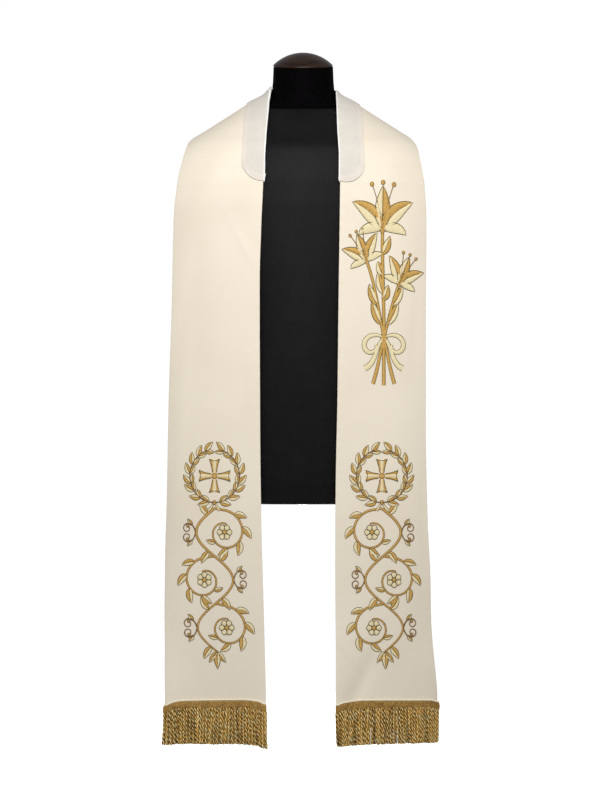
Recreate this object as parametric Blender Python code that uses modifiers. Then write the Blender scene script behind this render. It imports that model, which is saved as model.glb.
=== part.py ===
"""A shaped clerical stole with a collar protector and fringed ends, on a limbless dress form with a stand.

Metres, +Z up. The origin is the centre of the stand's foot on the floor, the form faces -Y, and the neck and
the pole stand on the Z axis. "Left" and "right" are the viewer's, with the form seen from the front.
"""

import math
from collections import namedtuple

import bmesh
import bpy
import numpy as np

# ---------------------------------------------------------------- driving dimensions

CLOTH = 0.0020  # satin, stiffener and reverse of the stole, as one wall
COTTON = 0.0012  # the collar protector, a folded strip
BRAID = 0.0026  # the heading that the fringe hangs from
SEAM_GAP = 0.0005  # between pieces that are sewn together
RING_SIDES = 36  # facets round the form, its neck and the cap

FORM_FOOT = 0.6845  # the form's flat lower end
FORM_FOOT_ROUNDING = 0.004  # height of its rounded lower edge
FORM_FOOT_SHARE = (0.965, 0.955)  # of the form's width and depth that is flat there
TRUNK_TOP, TRUNK_SECTIONS = 1.27, 12  # the form's evenly shaped length, with its sections far apart
SHOULDERS_FOOT, SHOULDERS_TOP, SHOULDERS_SECTIONS = 1.31, 1.47, 11  # where they lie closer
NECK_SEAM = 1.433  # height on the form's axis of the seam between torso and neck
SEAM_TILT = math.radians(8)  # of that seam, down at the front
NECK_TOP = 1.511
NECK_LEAN, NECK_LEANS = 0.0018, (1.435, 1.470)  # how far right it stands, and where it comes to that
CAP_LEAN = 0.0012  # and the cap this far
NECK_TILT = math.radians(12)  # of the neck's top and the cap, down at the front
CAP_RADIUS, CAP_RISE, CAP_EDGE, CAP_STEPS = 0.0566, 0.0265, 0.0030, 7
CAP_CHAMFER = 0.0010

DRAPE_TOP, DRAPE_FOOT = 1.490, 1.20  # ends of the surface that the cloth lies on, round the back
RIDGE_FOOT = 1.300  # the shoulder ridge comes down to this at its outer end

POLE_RADIUS = 0.0110
POLE_CHAMFER = 0.001
FOOT_RADIUS, FOOT_EDGE, FOOT_RISE = 0.190, 0.006, 0.010
FOOT_CHAMFER = 0.001
DISH_SHARES = (0, 0.05, 0.15, 0.35, 0.65, 0.99)  # of the way out, where the foot's upper face has its rings
SOCKET_RADIUS, SOCKET_TOP, SOCKET_CHAMFER = 0.024, 0.055, 0.002

CLOTH_HEM = 0.3055  # lower edge of the satin
CLOTH_END = 0.280  # how far down the hanging surface is worked out
CORNER_TRIM, CORNER_REACH = 0.0085, 0.024  # its outer corner on the shoulder is rounded off by this
BACK_WIDTH = 0.132  # of the stole at the centre back
BACK_NARROWED = 0.75  # share of the turn to the centre back over which it comes down to that
BACK_SEAM = 0.0005  # between the halves
BACK_INNER_RADIUS = 0.0715  # of its neckline at the centre back

PROTECTOR_WIDTH = 0.055
PROTECTOR_GAP = 0.0008  # off the stole's face
PROTECTOR_OVERHANG = 0.0035  # past the stole's neckline, over the fold
PROTECTOR_TIP = 1.2820  # height of its two front points
PROTECTOR_ROUNDING = 0.050  # length over which the points are rounded
PROTECTOR_POINT = {"left": 1.55, "right": 1.90}  # exponents of the rounding, 2 would be an ellipse
PROTECTOR_BLUNT = 0.002  # of its width is left at the very point
PROTECTOR_COLUMNS = 6

BRAID_TOP, BRAID_FOOT = 0.3205, 0.3035
BRAID_GAP = 0.0009  # off the stole's face, which curls here
STRANDS = 58  # on each end
STRAND_SHARE = 0.70  # of the pitch, the rest is the gap
BRAID_RETURN = 0.004  # past each edge of the cloth, as a share of its width

# One row for each height of the form. "form" is the solid, "drape" the surface that the cloth lies on, both
# rings of that half width and depth. Tilt and bend raise them at the back and lower them in front.
FormRow = namedtuple(
    "FormRow",
    "height form_width form_depth drape_width drape_depth squareness tilt bend",
)
FORM_ROWS = [
    FormRow(0.280, 0.160, 0.106, 0.2900, 0.1240, 2.6, 0.00, 0.000),
    FormRow(0.684, 0.164, 0.110, 0.2900, 0.1240, 2.6, 0.00, 0.000),
    FormRow(0.720, 0.169, 0.1135, 0.2900, 0.1240, 2.6, 0.00, 0.000),
    FormRow(0.780, 0.171, 0.1165, 0.2900, 0.1240, 2.6, 0.00, 0.000),
    FormRow(0.860, 0.163, 0.1200, 0.2900, 0.1240, 2.6, 0.00, 0.000),
    FormRow(0.930, 0.151, 0.1222, 0.2900, 0.1240, 2.6, 0.00, 0.000),
    FormRow(1.000, 0.147, 0.1228, 0.2900, 0.1240, 2.6, 0.00, 0.000),
    FormRow(1.070, 0.150, 0.1230, 0.2900, 0.1240, 2.6, 0.00, 0.000),
    FormRow(1.150, 0.162, 0.1231, 0.2900, 0.1240, 2.6, 0.00, 0.000),
    FormRow(1.220, 0.175, 0.1230, 0.2890, 0.1240, 2.6, 0.00, 0.000),
    FormRow(1.270, 0.186, 0.1218, 0.2820, 0.1228, 2.6, 0.00, 0.000),
    FormRow(1.310, 0.197, 0.1186, 0.2650, 0.1196, 2.5, 0.00, 0.000),
    FormRow(1.335, 0.2025, 0.1150, 0.2480, 0.1160, 2.5, 0.03, 0.001),
    FormRow(1.355, 0.2030, 0.1108, 0.2300, 0.1118, 2.4, 0.07, 0.002),
    FormRow(1.370, 0.1950, 0.1066, 0.2120, 0.1078, 2.4, 0.12, 0.004),
    FormRow(1.385, 0.1815, 0.1014, 0.1872, 0.1028, 2.3, 0.17, 0.006),
    FormRow(1.400, 0.1610, 0.0956, 0.1634, 0.0970, 2.3, 0.22, 0.008),
    FormRow(1.420, 0.1294, 0.0871, 0.1317, 0.0888, 2.2, 0.27, 0.010),
    FormRow(1.440, 0.0974, 0.0774, 0.0999, 0.0792, 2.1, 0.31, 0.011),
    FormRow(1.462, 0.0612, 0.0640, 0.0662, 0.0662, 2.0, 0.33, 0.012),
    FormRow(1.474, 0.0586, 0.0600, 0.0600, 0.0614, 2.0, 0.30, 0.010),
    FormRow(1.492, 0.0574, 0.0580, 0.0584, 0.0590, 2.0, 0.20, 0.005),
    FormRow(1.512, 0.0566, 0.0566, 0.0576, 0.0576, 2.0, 0.2126, 0.000),
]

# One row for each height of a hanging end: where its inner and outer edges hang, out from the form's middle,
# and how far each edge swings off the drape ring (forward is negative).
EndRow = namedtuple("EndRow", "height inner outer inner_swing outer_swing")
END_ROWS = {
    "left": [
        EndRow(0.280, 0.0680, 0.2465, 0.003, -0.024),
        EndRow(0.319, 0.0683, 0.2463, 0.003, -0.023),
        EndRow(0.397, 0.0694, 0.2498, 0.003, -0.021),
        EndRow(0.545, 0.0729, 0.2547, 0.003, -0.017),
        EndRow(0.693, 0.0764, 0.2514, 0.002, -0.013),
        EndRow(0.878, 0.0780, 0.2482, 0.001, -0.008),
        EndRow(1.063, 0.0786, 0.2424, 0.000, -0.003),
        EndRow(1.192, 0.0760, 0.2396, 0.000, 0.000),
        EndRow(1.270, 0.0726, 0.2339, 0.000, 0.000),
        EndRow(1.304, 0.0717, 0.2283, 0.000, 0.000),
        EndRow(1.326, 0.0715, 0.2231, 0.000, 0.000),
        EndRow(1.349, 0.0703, 0.2174, 0.000, 0.000),
        EndRow(1.361, 0.0697, 0.2147, 0.000, 0.000),
        EndRow(1.372, 0.0691, 0.2120, 0.000, 0.000),
        EndRow(1.420, 0.0655, 0.2000, 0.000, 0.000),
        EndRow(1.462, 0.0636, 0.1900, 0.000, 0.000),
    ],
    "right": [
        EndRow(0.280, 0.0614, 0.2518, -0.004, -0.014),
        EndRow(0.319, 0.0614, 0.2494, -0.004, -0.013),
        EndRow(0.397, 0.0616, 0.2433, -0.003, -0.012),
        EndRow(0.545, 0.0606, 0.2378, -0.002, -0.010),
        EndRow(0.693, 0.0611, 0.2310, -0.001, -0.008),
        EndRow(0.878, 0.0644, 0.2286, 0.000, -0.005),
        EndRow(1.063, 0.0665, 0.2289, 0.000, -0.002),
        EndRow(1.192, 0.0684, 0.2300, 0.000, 0.000),
        EndRow(1.270, 0.0694, 0.2272, 0.000, 0.000),
        EndRow(1.304, 0.0700, 0.2228, 0.000, 0.000),
        EndRow(1.326, 0.0702, 0.2189, 0.000, 0.000),
        EndRow(1.349, 0.0692, 0.2152, 0.000, 0.000),
        EndRow(1.361, 0.0686, 0.2107, 0.000, 0.000),
        EndRow(1.372, 0.0679, 0.2054, 0.000, 0.000),
        EndRow(1.420, 0.0664, 0.1950, 0.000, 0.000),
        EndRow(1.462, 0.0650, 0.1850, 0.000, 0.000),
    ],
}

# One row for each soft fold: where it is deepest (height, and the share of the width from the neckline), how
# far it reaches up and across, its slant (share of the width for each metre up), and its rise off the cloth.
Fold = namedtuple("Fold", "height across reach_up reach_across slant rise")
FOLDS = {
    "left": [
        Fold(0.270, 1.02, 0.150, 0.15, 0.0, 0.020),  # outer corner of the hem curls forward
        Fold(0.270, -0.04, 0.130, 0.22, 0.0, 0.018),  # inner corner of the hem
        Fold(0.420, 0.55, 0.140, 0.30, 0.6, -0.0035),  # shallow hollow between them
        Fold(0.800, 0.30, 0.220, 0.22, 0.3, 0.0022),
        Fold(1.040, 0.72, 0.180, 0.20, -0.5, -0.0022),
        Fold(1.200, 0.40, 0.055, 0.20, -2.0, -0.0030),  # trough under the collar bone
        Fold(1.255, 0.66, 0.060, 0.16, -2.0, 0.0028),
    ],
    "right": [
        Fold(0.270, -0.04, 0.170, 0.28, 0.0, 0.026),  # inner corner of the hem curls forward
        Fold(0.345, 0.22, 0.080, 0.10, 2.6, -0.0050),  # slanting crease beside it
        Fold(0.360, 1.00, 0.060, 0.20, 0.0, 0.0045),  # wave in the outer edge
        Fold(0.470, 0.98, 0.070, 0.24, 0.0, -0.0035),
        Fold(0.760, 0.66, 0.240, 0.22, -0.3, 0.0022),
        Fold(1.180, 0.45, 0.080, 0.20, 1.5, -0.0020),
        Fold(1.300, 0.60, 0.050, 0.18, 1.5, 0.0018),
    ],
}

# How far the hem drops below level across its width, from the neckline's side to the outer edge.
DropRow = namedtuple("DropRow", "across cloth strands")
DROPS = {
    "left": [
        DropRow(-0.20, 0.0050, 0.0120),
        DropRow(0.00, 0.0045, 0.0110),
        DropRow(0.10, 0.0020, 0.0040),
        DropRow(0.25, 0.0000, 0.0005),
        DropRow(0.86, 0.0000, 0.0005),
        DropRow(1.00, 0.0045, 0.0060),
        DropRow(1.20, 0.0050, 0.0070),
    ],
    "right": [
        DropRow(-0.20, 0.0050, 0.0050),
        DropRow(0.00, 0.0042, 0.0045),
        DropRow(0.15, 0.0020, 0.0025),
        DropRow(0.32, 0.0002, 0.0000),
        DropRow(0.85, 0.0000, 0.0000),
        DropRow(1.00, 0.0006, 0.0020),
        DropRow(1.20, 0.0010, 0.0030),
    ],
}
DROP_STARTS, DROP_FULL = 0.46, 0.33  # heights between which the drop grows
STRAND_END = 0.2430

SIDE_SIGN = {"left": -1.0, "right": 1.0}

# Sections of a stole half from the centre back to the hem, and its columns as shares of the width.
BACK_SECTIONS, SHOULDER_SECTIONS, HANGING_SECTIONS, HEM_SECTIONS = 14, 10, 10, 8
PANEL_COLUMNS = [0, 0.03, 0.08, 0.15, 0.25, 0.38, 0.5, 0.62, 0.75, 0.85, 0.92, 0.97, 1]
POINT_SPACING = [0.0, 0.0015, 0.005, 0.011, 0.020, 0.034, 0.050]  # before the protector's point
EDGE_MARGINS = (0.028, 0.020)  # shares of the width past each edge, that pieces on the stole may overhang
FRONT_LENGTH = 1.20  # of the hanging surface from ridge to end, near enough for spacing
HEM_STRETCH = 0.24  # above the hem, where the sections lie closer
FOLDS_START = 0.04  # station at which the folds are full, fading out up to the ridge

# How finely the smooth surface is followed while points are placed on it.
FRONT_SAMPLES, BACK_SAMPLES, RIDGE_SAMPLES, HEIGHT_SAMPLES, WIDTH_SAMPLES = 150, 220, 400, 120, 9
NORMAL_STEP = 0.004  # in station and across, between the points that a normal is worked out from
EDGE_ROUNDS = 12  # in which the places of the two edges settle

# How the strands lean: waves across the hem, each with its swing, its turns and its start.
Wave = namedtuple("Wave", "swing turns start")
SIDEWAYS_WAVES = [Wave(0.0022, 9, 0.0), Wave(0.0010, 31, 0.0)]
FORWARD_WAVES = [Wave(0.0020, 13, 1.0), Wave(0.0012, 41, 0.0)]
SWAY_START = {"left": 0.0, "right": 1.7}

# Linear colours with roughness and metallic value.
Finish = namedtuple("Finish", "colour roughness metallic")
FINISHES = {
    "satin": Finish((0.86, 0.79, 0.66), 0.45, 0.0),
    "cotton": Finish((0.88, 0.86, 0.82), 0.80, 0.0),
    "gold_fringe": Finish((0.40, 0.25, 0.07), 0.40, 0.6),
    "black_jersey": Finish((0.012, 0.012, 0.014), 0.85, 0.0),
    "dark_wood": Finish((0.045, 0.028, 0.020), 0.35, 0.0),
    "white_enamel": Finish((0.86, 0.86, 0.85), 0.35, 0.0),
}


# ---------------------------------------------------------------- curves and surfaces


def smooth_curve(places, values):
    """A function through the points that has no wiggles between them: a monotone cubic."""
    places, values = np.array(places, float), np.array(values, float)
    steps = np.diff(places)
    slopes = np.diff(values) / steps
    tangents = np.concatenate([slopes[:1], np.zeros(len(slopes) - 1), slopes[-1:]])
    for i in range(1, len(slopes)):
        if slopes[i - 1] * slopes[i] > 0:
            tangents[i] = 2 / (1 / slopes[i - 1] + 1 / slopes[i])

    def at(place):
        place = np.clip(place, places[0], places[-1])
        i = np.clip(np.searchsorted(places, place, side="right") - 1, 0, len(steps) - 1)
        u = (place - places[i]) / steps[i]
        left = values[i] + u * steps[i] * tangents[i]
        right = values[i + 1] + (u - 1) * steps[i] * tangents[i + 1]
        weight = u * u * (3 - 2 * u)
        return left * (1 - weight) + right * weight

    return at


def columns(rows, key):
    """Each other column of a table as a smooth function of the key column."""
    places = [getattr(row, key) for row in rows]
    return {
        name: smooth_curve(places, [getattr(row, name) for row in rows])
        for name in rows[0]._fields
        if name != key
    }


def smooth_step(value, start, end):
    share = np.clip((value - start) / (end - start), 0, 1)
    return share * share * (3 - 2 * share)


FORM = columns(FORM_ROWS, "height")
ENDS = {side: columns(rows, "height") for side, rows in END_ROWS.items()}
HEM_DROP = {side: columns(rows, "across") for side, rows in DROPS.items()}
RIDGE_HEIGHTS = np.linspace(RIDGE_FOOT, DRAPE_TOP, RIDGE_SAMPLES)
RIDGE_WIDTHS = FORM["drape_width"](RIDGE_HEIGHTS)


def form_ring(height, angle):
    """A point of the form's own surface: angle 0 is its side, -90 degrees its front."""
    power = 2 / FORM["squareness"](height)
    across = np.sign(np.cos(angle)) * np.abs(np.cos(angle)) ** power
    deep = np.sign(np.sin(angle)) * np.abs(np.sin(angle)) ** power
    y = FORM["form_depth"](height) * deep
    lift = FORM["tilt"](height) * y - FORM["bend"](height) * (1 - across**2)
    x = FORM["form_width"](height) * across + NECK_LEAN * smooth_step(height, *NECK_LEANS)
    return np.stack([x, y, height + lift], axis=-1)


def along(place, places, points):
    """The point or points at a place along one polyline whose points lie at the given places."""
    return np.stack([np.interp(place, places, points[:, axis]) for axis in range(3)], axis=-1)


def place_on_line(line, lengths, wanted):
    """The points at the wanted lengths along each polyline."""
    return np.array([along(place, one, points) for place, one, points in zip(wanted, lengths, line)])


def lengths_of(line):
    """The length along each polyline up to each of its points."""
    steps = np.linalg.norm(np.diff(line, axis=1), axis=2)
    return np.concatenate([np.zeros((len(line), 1)), np.cumsum(steps, axis=1)], axis=1)


def front_point(x, share):
    """Where the cloth is, x out from the middle and at this share of the way from the ridge to the end."""
    ridge = np.interp(x, RIDGE_WIDTHS[::-1], RIDGE_HEIGHTS[::-1])
    spread = np.linspace(0, 1, FRONT_SAMPLES) ** 2
    heights = ridge[:, None] - (ridge - CLOTH_END)[:, None] * spread
    ratio = np.clip(x[:, None] / FORM["drape_width"](heights), 0, 1)
    squareness = FORM["squareness"](heights)
    y = -FORM["drape_depth"](heights) * (1 - ratio**squareness) ** (1 / squareness)
    z = heights + FORM["tilt"](heights) * y - FORM["bend"](heights) * (1 - ratio**2)
    line = np.stack([np.broadcast_to(x[:, None], y.shape), y, z], axis=2)
    lengths = lengths_of(line)
    return place_on_line(line, lengths, share * lengths[:, -1])


def edges(side, share):
    """How far out the inner and outer edges of a front are, at that share of the way down."""
    found = []
    for column in ("inner", "outer"):
        place = ENDS[side][column]
        x = place(np.full(share.shape, RIDGE_FOOT))
        for _ in range(EDGE_ROUNDS):
            x = 0.5 * x + 0.5 * place(front_point(x, share)[:, 2])
        found.append(x)
    return found


def back_lines(turn):
    """Lines down the drape surface from the neck at each turn: their points, radii and lengths."""
    angle = turn * math.pi / 2
    heights = np.linspace(DRAPE_TOP, DRAPE_FOOT, BACK_SAMPLES)
    squareness = FORM["squareness"](heights)
    cos, sin = np.cos(angle)[:, None], np.sin(angle)[:, None]
    width, depth = FORM["drape_width"](heights), FORM["drape_depth"](heights)
    reach = np.abs(cos / width) ** squareness + np.abs(sin / depth) ** squareness
    radius = reach ** (-1 / squareness)
    x, y = radius * cos, radius * sin
    z = heights + FORM["tilt"](heights) * y - FORM["bend"](heights) * (1 - (x / width) ** 2)
    line = np.stack([x, y, z], axis=2)
    return line, radius, lengths_of(line)


RIDGE_RADIUS, RIDGE_LENGTH = (found[0] for found in back_lines(np.zeros(1))[1:])
RIDGE_EDGES = {side: [float(edge[0]) for edge in edges(side, np.zeros(1))] for side in SIDE_SIGN}


def ridge_width(side):
    start, end = np.interp(RIDGE_EDGES[side], RIDGE_RADIUS, RIDGE_LENGTH)
    return end - start


def ridge_share(side, across):
    """Where on the ridge, from edge to edge, a place lies that is this far across as seen from the front."""
    inner, outer = RIDGE_EDGES[side]
    start = np.interp(inner, RIDGE_RADIUS, RIDGE_LENGTH)
    place = np.interp(inner + (outer - inner) * across, RIDGE_RADIUS, RIDGE_LENGTH)
    return (place - start) / ridge_width(side)


def back_point(side, turn, across):
    """Where the cloth is behind the ridge: turn runs from 0 at the side to 1 at the centre back."""
    line, radius, lengths = back_lines(turn)
    side_inner, side_width = RIDGE_EDGES[side][0], ridge_width(side)
    blend = smooth_step(turn, 0, 1)
    inner = side_inner + (BACK_INNER_RADIUS - side_inner) * blend
    wide = side_width + (BACK_WIDTH - side_width) * smooth_step(turn, 0, BACK_NARROWED)
    starts = np.array([np.interp(i, r, one) for i, r, one in zip(inner, radius, lengths)])
    share = ridge_share(side, across) * (1 - blend) + across * blend
    found = place_on_line(line, lengths, starts + wide * share)
    found[:, 0] += BACK_SEAM / 2 * blend
    return found


def smooth_cloth(side, station, across):
    """The stole's inner face before its folds.

    Station -1 is the centre back, 0 the shoulder ridge and 1 the end.
    """
    points = np.empty((len(station), 3))
    back = station < 0
    if back.any():
        points[back] = back_point(side, -station[back], across[back])
    if (~back).any():
        share, place = station[~back], across[~back]
        shares, index = np.unique(share, return_inverse=True)
        inner, outer = (edge[index] for edge in edges(side, shares))
        hanging = front_point(inner + (outer - inner) * place, share)
        end = ENDS[side]
        inner_swing, outer_swing = end["inner_swing"](hanging[:, 2]), end["outer_swing"](hanging[:, 2])
        hanging[:, 1] += inner_swing + (outer_swing - inner_swing) * place
        grown = 1 - smooth_step(hanging[:, 2], DROP_FULL, DROP_STARTS)
        hanging[:, 2] -= HEM_DROP[side]["cloth"](place) * grown
        points[~back] = hanging
    points[:, 0] *= SIDE_SIGN[side]
    return points


def rise_of_folds(side, points, station, across):
    """How far the folds lift the cloth off its smooth shape."""
    rise = np.zeros(len(points))
    for fold in FOLDS[side]:
        up = points[:, 2] - fold.height
        beside = across - fold.across - fold.slant * up
        rise += fold.rise * np.exp(-((up / fold.reach_up) ** 2) - (beside / fold.reach_across) ** 2)
    return rise * smooth_step(station, 0, FOLDS_START)


def cloth_point(side, station, across, lift=0.0):
    """A point of the stole's inner face, moved out by lift. Station and across are arrays of one shape."""
    shape = np.broadcast(station, across).shape
    station = np.broadcast_to(station, shape).ravel().astype(float)
    across = np.broadcast_to(across, shape).ravel().astype(float)
    near = NORMAL_STEP
    down = smooth_cloth(side, station + near, across) - smooth_cloth(side, station - near, across)
    out = smooth_cloth(side, station, across + near) - smooth_cloth(side, station, across - near)
    normal = np.cross(down, out) * SIDE_SIGN[side]
    normal /= np.linalg.norm(normal, axis=1)[:, None]
    points = smooth_cloth(side, station, across)
    points += normal * (lift + rise_of_folds(side, points, station, across))[:, None]
    return points.reshape(*shape, 3)


def station_at(side, height, across=0.5):
    """The station at which the front's smooth surface has come down to this height."""
    stations = np.linspace(0, 1, HEIGHT_SAMPLES)
    heights = smooth_cloth(side, stations, np.full(HEIGHT_SAMPLES, across))[:, 2]
    return float(np.interp(-height, -heights, stations))


def protector_tip(side):
    return station_at(side, PROTECTOR_TIP, 0.0)


def panel_stations(side):
    """The stations of a stole half's sections, which the pieces sewn on it share."""
    tip, braid, hem = protector_tip(side), station_at(side, BRAID_TOP), station_at(side, CLOTH_HEM)
    back = -np.linspace(1, 0, BACK_SECTIONS)[:-1]
    point = tip - np.array(POINT_SPACING[::-1]) / FRONT_LENGTH
    shoulder = np.linspace(0, point[0], SHOULDER_SECTIONS)[:-1]
    low = hem - HEM_STRETCH / FRONT_LENGTH
    hanging = np.linspace(tip, low, HANGING_SECTIONS)[1:-1]
    end = np.linspace(low, braid, HEM_SECTIONS)
    return np.concatenate([back, shoulder, point, hanging, end, [hem]])


def on_cloth(side, stations, across, gap):
    """Points on the stole's outer face as its solid has it, flat between its columns, and a gap off it."""
    table = np.array([-EDGE_MARGINS[0], *PANEL_COLUMNS, 1 + EDGE_MARGINS[1]])
    rows = cloth_point(side, stations[:, None], table[None, :], CLOTH + gap)
    across = np.broadcast_to(across, (len(stations), across.shape[-1]))
    return np.array([along(places, table, row) for places, row in zip(across, rows)])


def width_at(side, stations):
    """The stole's width at each station."""
    places = np.linspace(0, 1, WIDTH_SAMPLES)
    rows = cloth_point(side, stations[:, None], places[None, :])
    return np.linalg.norm(np.diff(rows, axis=1), axis=2).sum(axis=1)


# ---------------------------------------------------------------- Blender objects


def new_object(name, mesh, finish, collection):
    """Links a mesh as an object with its material."""
    material = bpy.data.materials.get(finish) or bpy.data.materials.new(finish)
    look = FINISHES[finish]
    material.use_nodes = True
    shader = material.node_tree.nodes["Principled BSDF"]
    shader.inputs["Base Color"].default_value = (*look.colour, 1)
    shader.inputs["Roughness"].default_value = look.roughness
    shader.inputs["Metallic"].default_value = look.metallic
    mesh.materials.append(material)
    mesh.shade_smooth()
    mesh.set_sharp_from_angle(angle=math.radians(40))
    made = bpy.data.objects.new(name, mesh)
    collection.objects.link(made)
    return made


def mesh_from(bm, name):
    mesh = bpy.data.meshes.new(name)
    bm.to_mesh(mesh)
    bm.free()
    return mesh


def grid_mesh(points):
    """A bmesh grid bent to an array of points.

    Its faces point out where the rows run up the left half and down the right.
    """
    rows, cols = points.shape[:2]
    bm = bmesh.new()
    bmesh.ops.create_grid(bm, x_segments=cols - 1, y_segments=rows - 1, size=1)
    bm.verts.ensure_lookup_table()
    for vertex, point in zip(bm.verts, points.reshape(-1, 3)):
        vertex.co = point
    bmesh.ops.reverse_faces(bm, faces=bm.faces)
    return bm


def shell(name, points, thickness, finish, collection):
    """A cloth wall: a grid of points with its thickness laid on the outer side."""
    made = new_object(name, mesh_from(grid_mesh(points), name), finish, collection)
    solidify = made.modifiers.new("wall", "SOLIDIFY")
    solidify.thickness = thickness
    solidify.offset = 1
    return made


def stole_half(side, collection):
    """One half of the stole: from the centre back over the shoulder and down to the hem."""
    stations = panel_stations(side)
    if side == "left":
        stations = stations[::-1]
    from_corner = stations * FRONT_LENGTH / CORNER_REACH
    kept = 1 - CORNER_TRIM * np.exp(-(from_corner**2)) / width_at(side, stations)
    points = cloth_point(side, stations[:, None], kept[:, None] * PANEL_COLUMNS)
    shell(f"stole_{side}", points, CLOTH, "satin", collection)


def protector_half(side):
    """The under face of one side of the collar protector, from the centre back to its front point."""
    stations = panel_stations(side)
    stations = stations[: int(np.argmin(np.abs(stations - protector_tip(side)))) + 1]
    line = cloth_point(side, stations[:, None], np.zeros((1, 1)))[:, 0]
    steps = np.linalg.norm(np.diff(line, axis=0), axis=1)
    to_tip = np.concatenate([np.cumsum(steps[::-1])[::-1], [0]])
    rounded = np.clip(1 - to_tip / PROTECTOR_ROUNDING, 0, 1)
    power = PROTECTOR_POINT[side]
    share = np.clip(1 - rounded**power, PROTECTOR_BLUNT, 1) ** (1 / power)
    width = width_at(side, stations)
    near = -PROTECTOR_OVERHANG / width
    far = near + share * PROTECTOR_WIDTH / width
    across = near[:, None] + (far - near)[:, None] * np.linspace(0, 1, PROTECTOR_COLUMNS)
    return on_cloth(side, stations, across, PROTECTOR_GAP)


def collar_protector(collection):
    """The washable cotton strip round the neckline, one piece from front point to front point."""
    left, right = (protector_half(side) for side in ("left", "right"))
    left[0, :, 0] = 0
    points = np.concatenate([left[::-1], right[1:]])
    shell("collar_protector", points, COTTON, "cotton", collection)


def strand_sway(side, place, waves):
    """How far a strand's foot leans, so that neighbours lean alike."""
    return sum(wave.swing * math.sin(wave.turns * place + wave.start + SWAY_START[side]) for wave in waves)


def fringe(side, collection):
    """The braid sewn over the hem's face, with strands hanging from it.

    Each strand is a face of the braid's foot drawn down.
    """
    pitch = 1 / STRANDS
    gap = (1 - STRAND_SHARE) / 2
    marks = [mark for i in range(STRANDS) for mark in ((i + gap) * pitch, (i + 1 - gap) * pitch)]
    across = np.array([0, *marks, 1]) * (1 + 2 * BRAID_RETURN) - BRAID_RETURN
    rows = np.array([station_at(side, BRAID_TOP), station_at(side, BRAID_FOOT)])
    if side == "left":
        rows = rows[::-1]
    bm = grid_mesh(on_cloth(side, rows, across, BRAID_GAP))
    bmesh.ops.solidify(bm, geom=list(bm.faces), thickness=-BRAID)
    bmesh.ops.recalc_face_normals(bm, faces=bm.faces)
    undersides = [face for face in bm.faces if face.normal.z < -math.cos(math.radians(45))]
    undersides.sort(key=lambda face: abs(face.calc_center_median().x))
    for index, foot in enumerate(undersides[1::2]):
        where = (index + 0.5) / STRANDS
        drop = float(HEM_DROP[side]["strands"](where) - HEM_DROP[side]["cloth"](where))
        sideways = strand_sway(side, where, SIDEWAYS_WAVES)
        forward = strand_sway(side, where, FORWARD_WAVES)
        tip = bmesh.ops.extrude_discrete_faces(bm, faces=[foot])["faces"][0]
        fall = tip.calc_center_median().z - (STRAND_END - drop)
        bmesh.ops.translate(bm, verts=list(tip.verts), vec=(sideways, -forward, -fall))
    bmesh.ops.recalc_face_normals(bm, faces=bm.faces)
    return new_object(f"fringe_{side}", mesh_from(bm, f"fringe_{side}"), "gold_fringe", collection)


def ball_to_rings(rings, foot, head):
    """A closed bmesh from a UV sphere.

    Its parallels go to the rings, bottom first, and its poles to foot and head.
    """
    bm = bmesh.new()
    bmesh.ops.create_uvsphere(bm, u_segments=RING_SIDES, v_segments=len(rings) + 1, radius=1)
    parallels = np.linspace(-math.pi / 2, math.pi / 2, len(rings) + 2)
    for vertex in bm.verts:
        level = int(np.argmin(np.abs(np.sin(parallels) - vertex.co.z)))
        if level == 0:
            vertex.co = foot
        elif level == len(rings) + 1:
            vertex.co = head
        else:
            turn = math.atan2(vertex.co.y, vertex.co.x) / (2 * math.pi) * RING_SIDES
            vertex.co = rings[level - 1][round(turn) % RING_SIDES]
    return bm


def ring_angles():
    return np.arange(RING_SIDES) * 2 * math.pi / RING_SIDES


def form_piece(name, above_seam, collection):
    """The part of the form above or below its neck seam.

    The whole form is one loft, cut by the seam's plane.
    """
    trunk = np.linspace(FORM_FOOT, TRUNK_TOP, TRUNK_SECTIONS)
    shoulders = np.linspace(SHOULDERS_FOOT, SHOULDERS_TOP, SHOULDERS_SECTIONS)
    heights = [*trunk, *shoulders, DRAPE_TOP, NECK_TOP]
    rings = [form_ring(np.full(RING_SIDES, height), ring_angles()) for height in heights]
    foot_edge = rings[0] * (*FORM_FOOT_SHARE, 1)
    rings[0] = rings[0] + (0, 0, FORM_FOOT_ROUNDING)
    made = ball_to_rings([foot_edge, *rings], (0, 0, FORM_FOOT), (NECK_LEAN, 0, NECK_TOP))
    off_plane = SEAM_GAP / 2 if above_seam else -SEAM_GAP / 2
    cut = bmesh.ops.bisect_plane(
        made,
        geom=[*made.verts, *made.edges, *made.faces],
        plane_co=(0, 0, NECK_SEAM + off_plane),
        plane_no=(0, -math.sin(SEAM_TILT), math.cos(SEAM_TILT)),
        clear_inner=above_seam,
        clear_outer=not above_seam,
    )
    rim = [item for item in cut["geom_cut"] if isinstance(item, bmesh.types.BMEdge)]
    bmesh.ops.edgeloop_fill(made, edges=rim)
    bmesh.ops.recalc_face_normals(made, faces=made.faces)
    return new_object(name, mesh_from(made, name), "black_jersey", collection)


def turned(name, profile, finish, collection):
    """A solid turned round the Z axis.

    The profile of (radius, height) runs from the top down its outer side.
    """
    mesh = bpy.data.meshes.new(name)
    points = [(radius, 0, height) for radius, height in profile]
    mesh.from_pydata(points, [(i, i + 1) for i in range(len(points) - 1)], [])
    made = new_object(name, mesh, finish, collection)
    screw = made.modifiers.new("turn", "SCREW")
    screw.steps = screw.render_steps = RING_SIDES
    screw.use_merge_vertices = True
    screw.merge_threshold = 0.00005
    screw.use_smooth_shade = True
    return made


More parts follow.
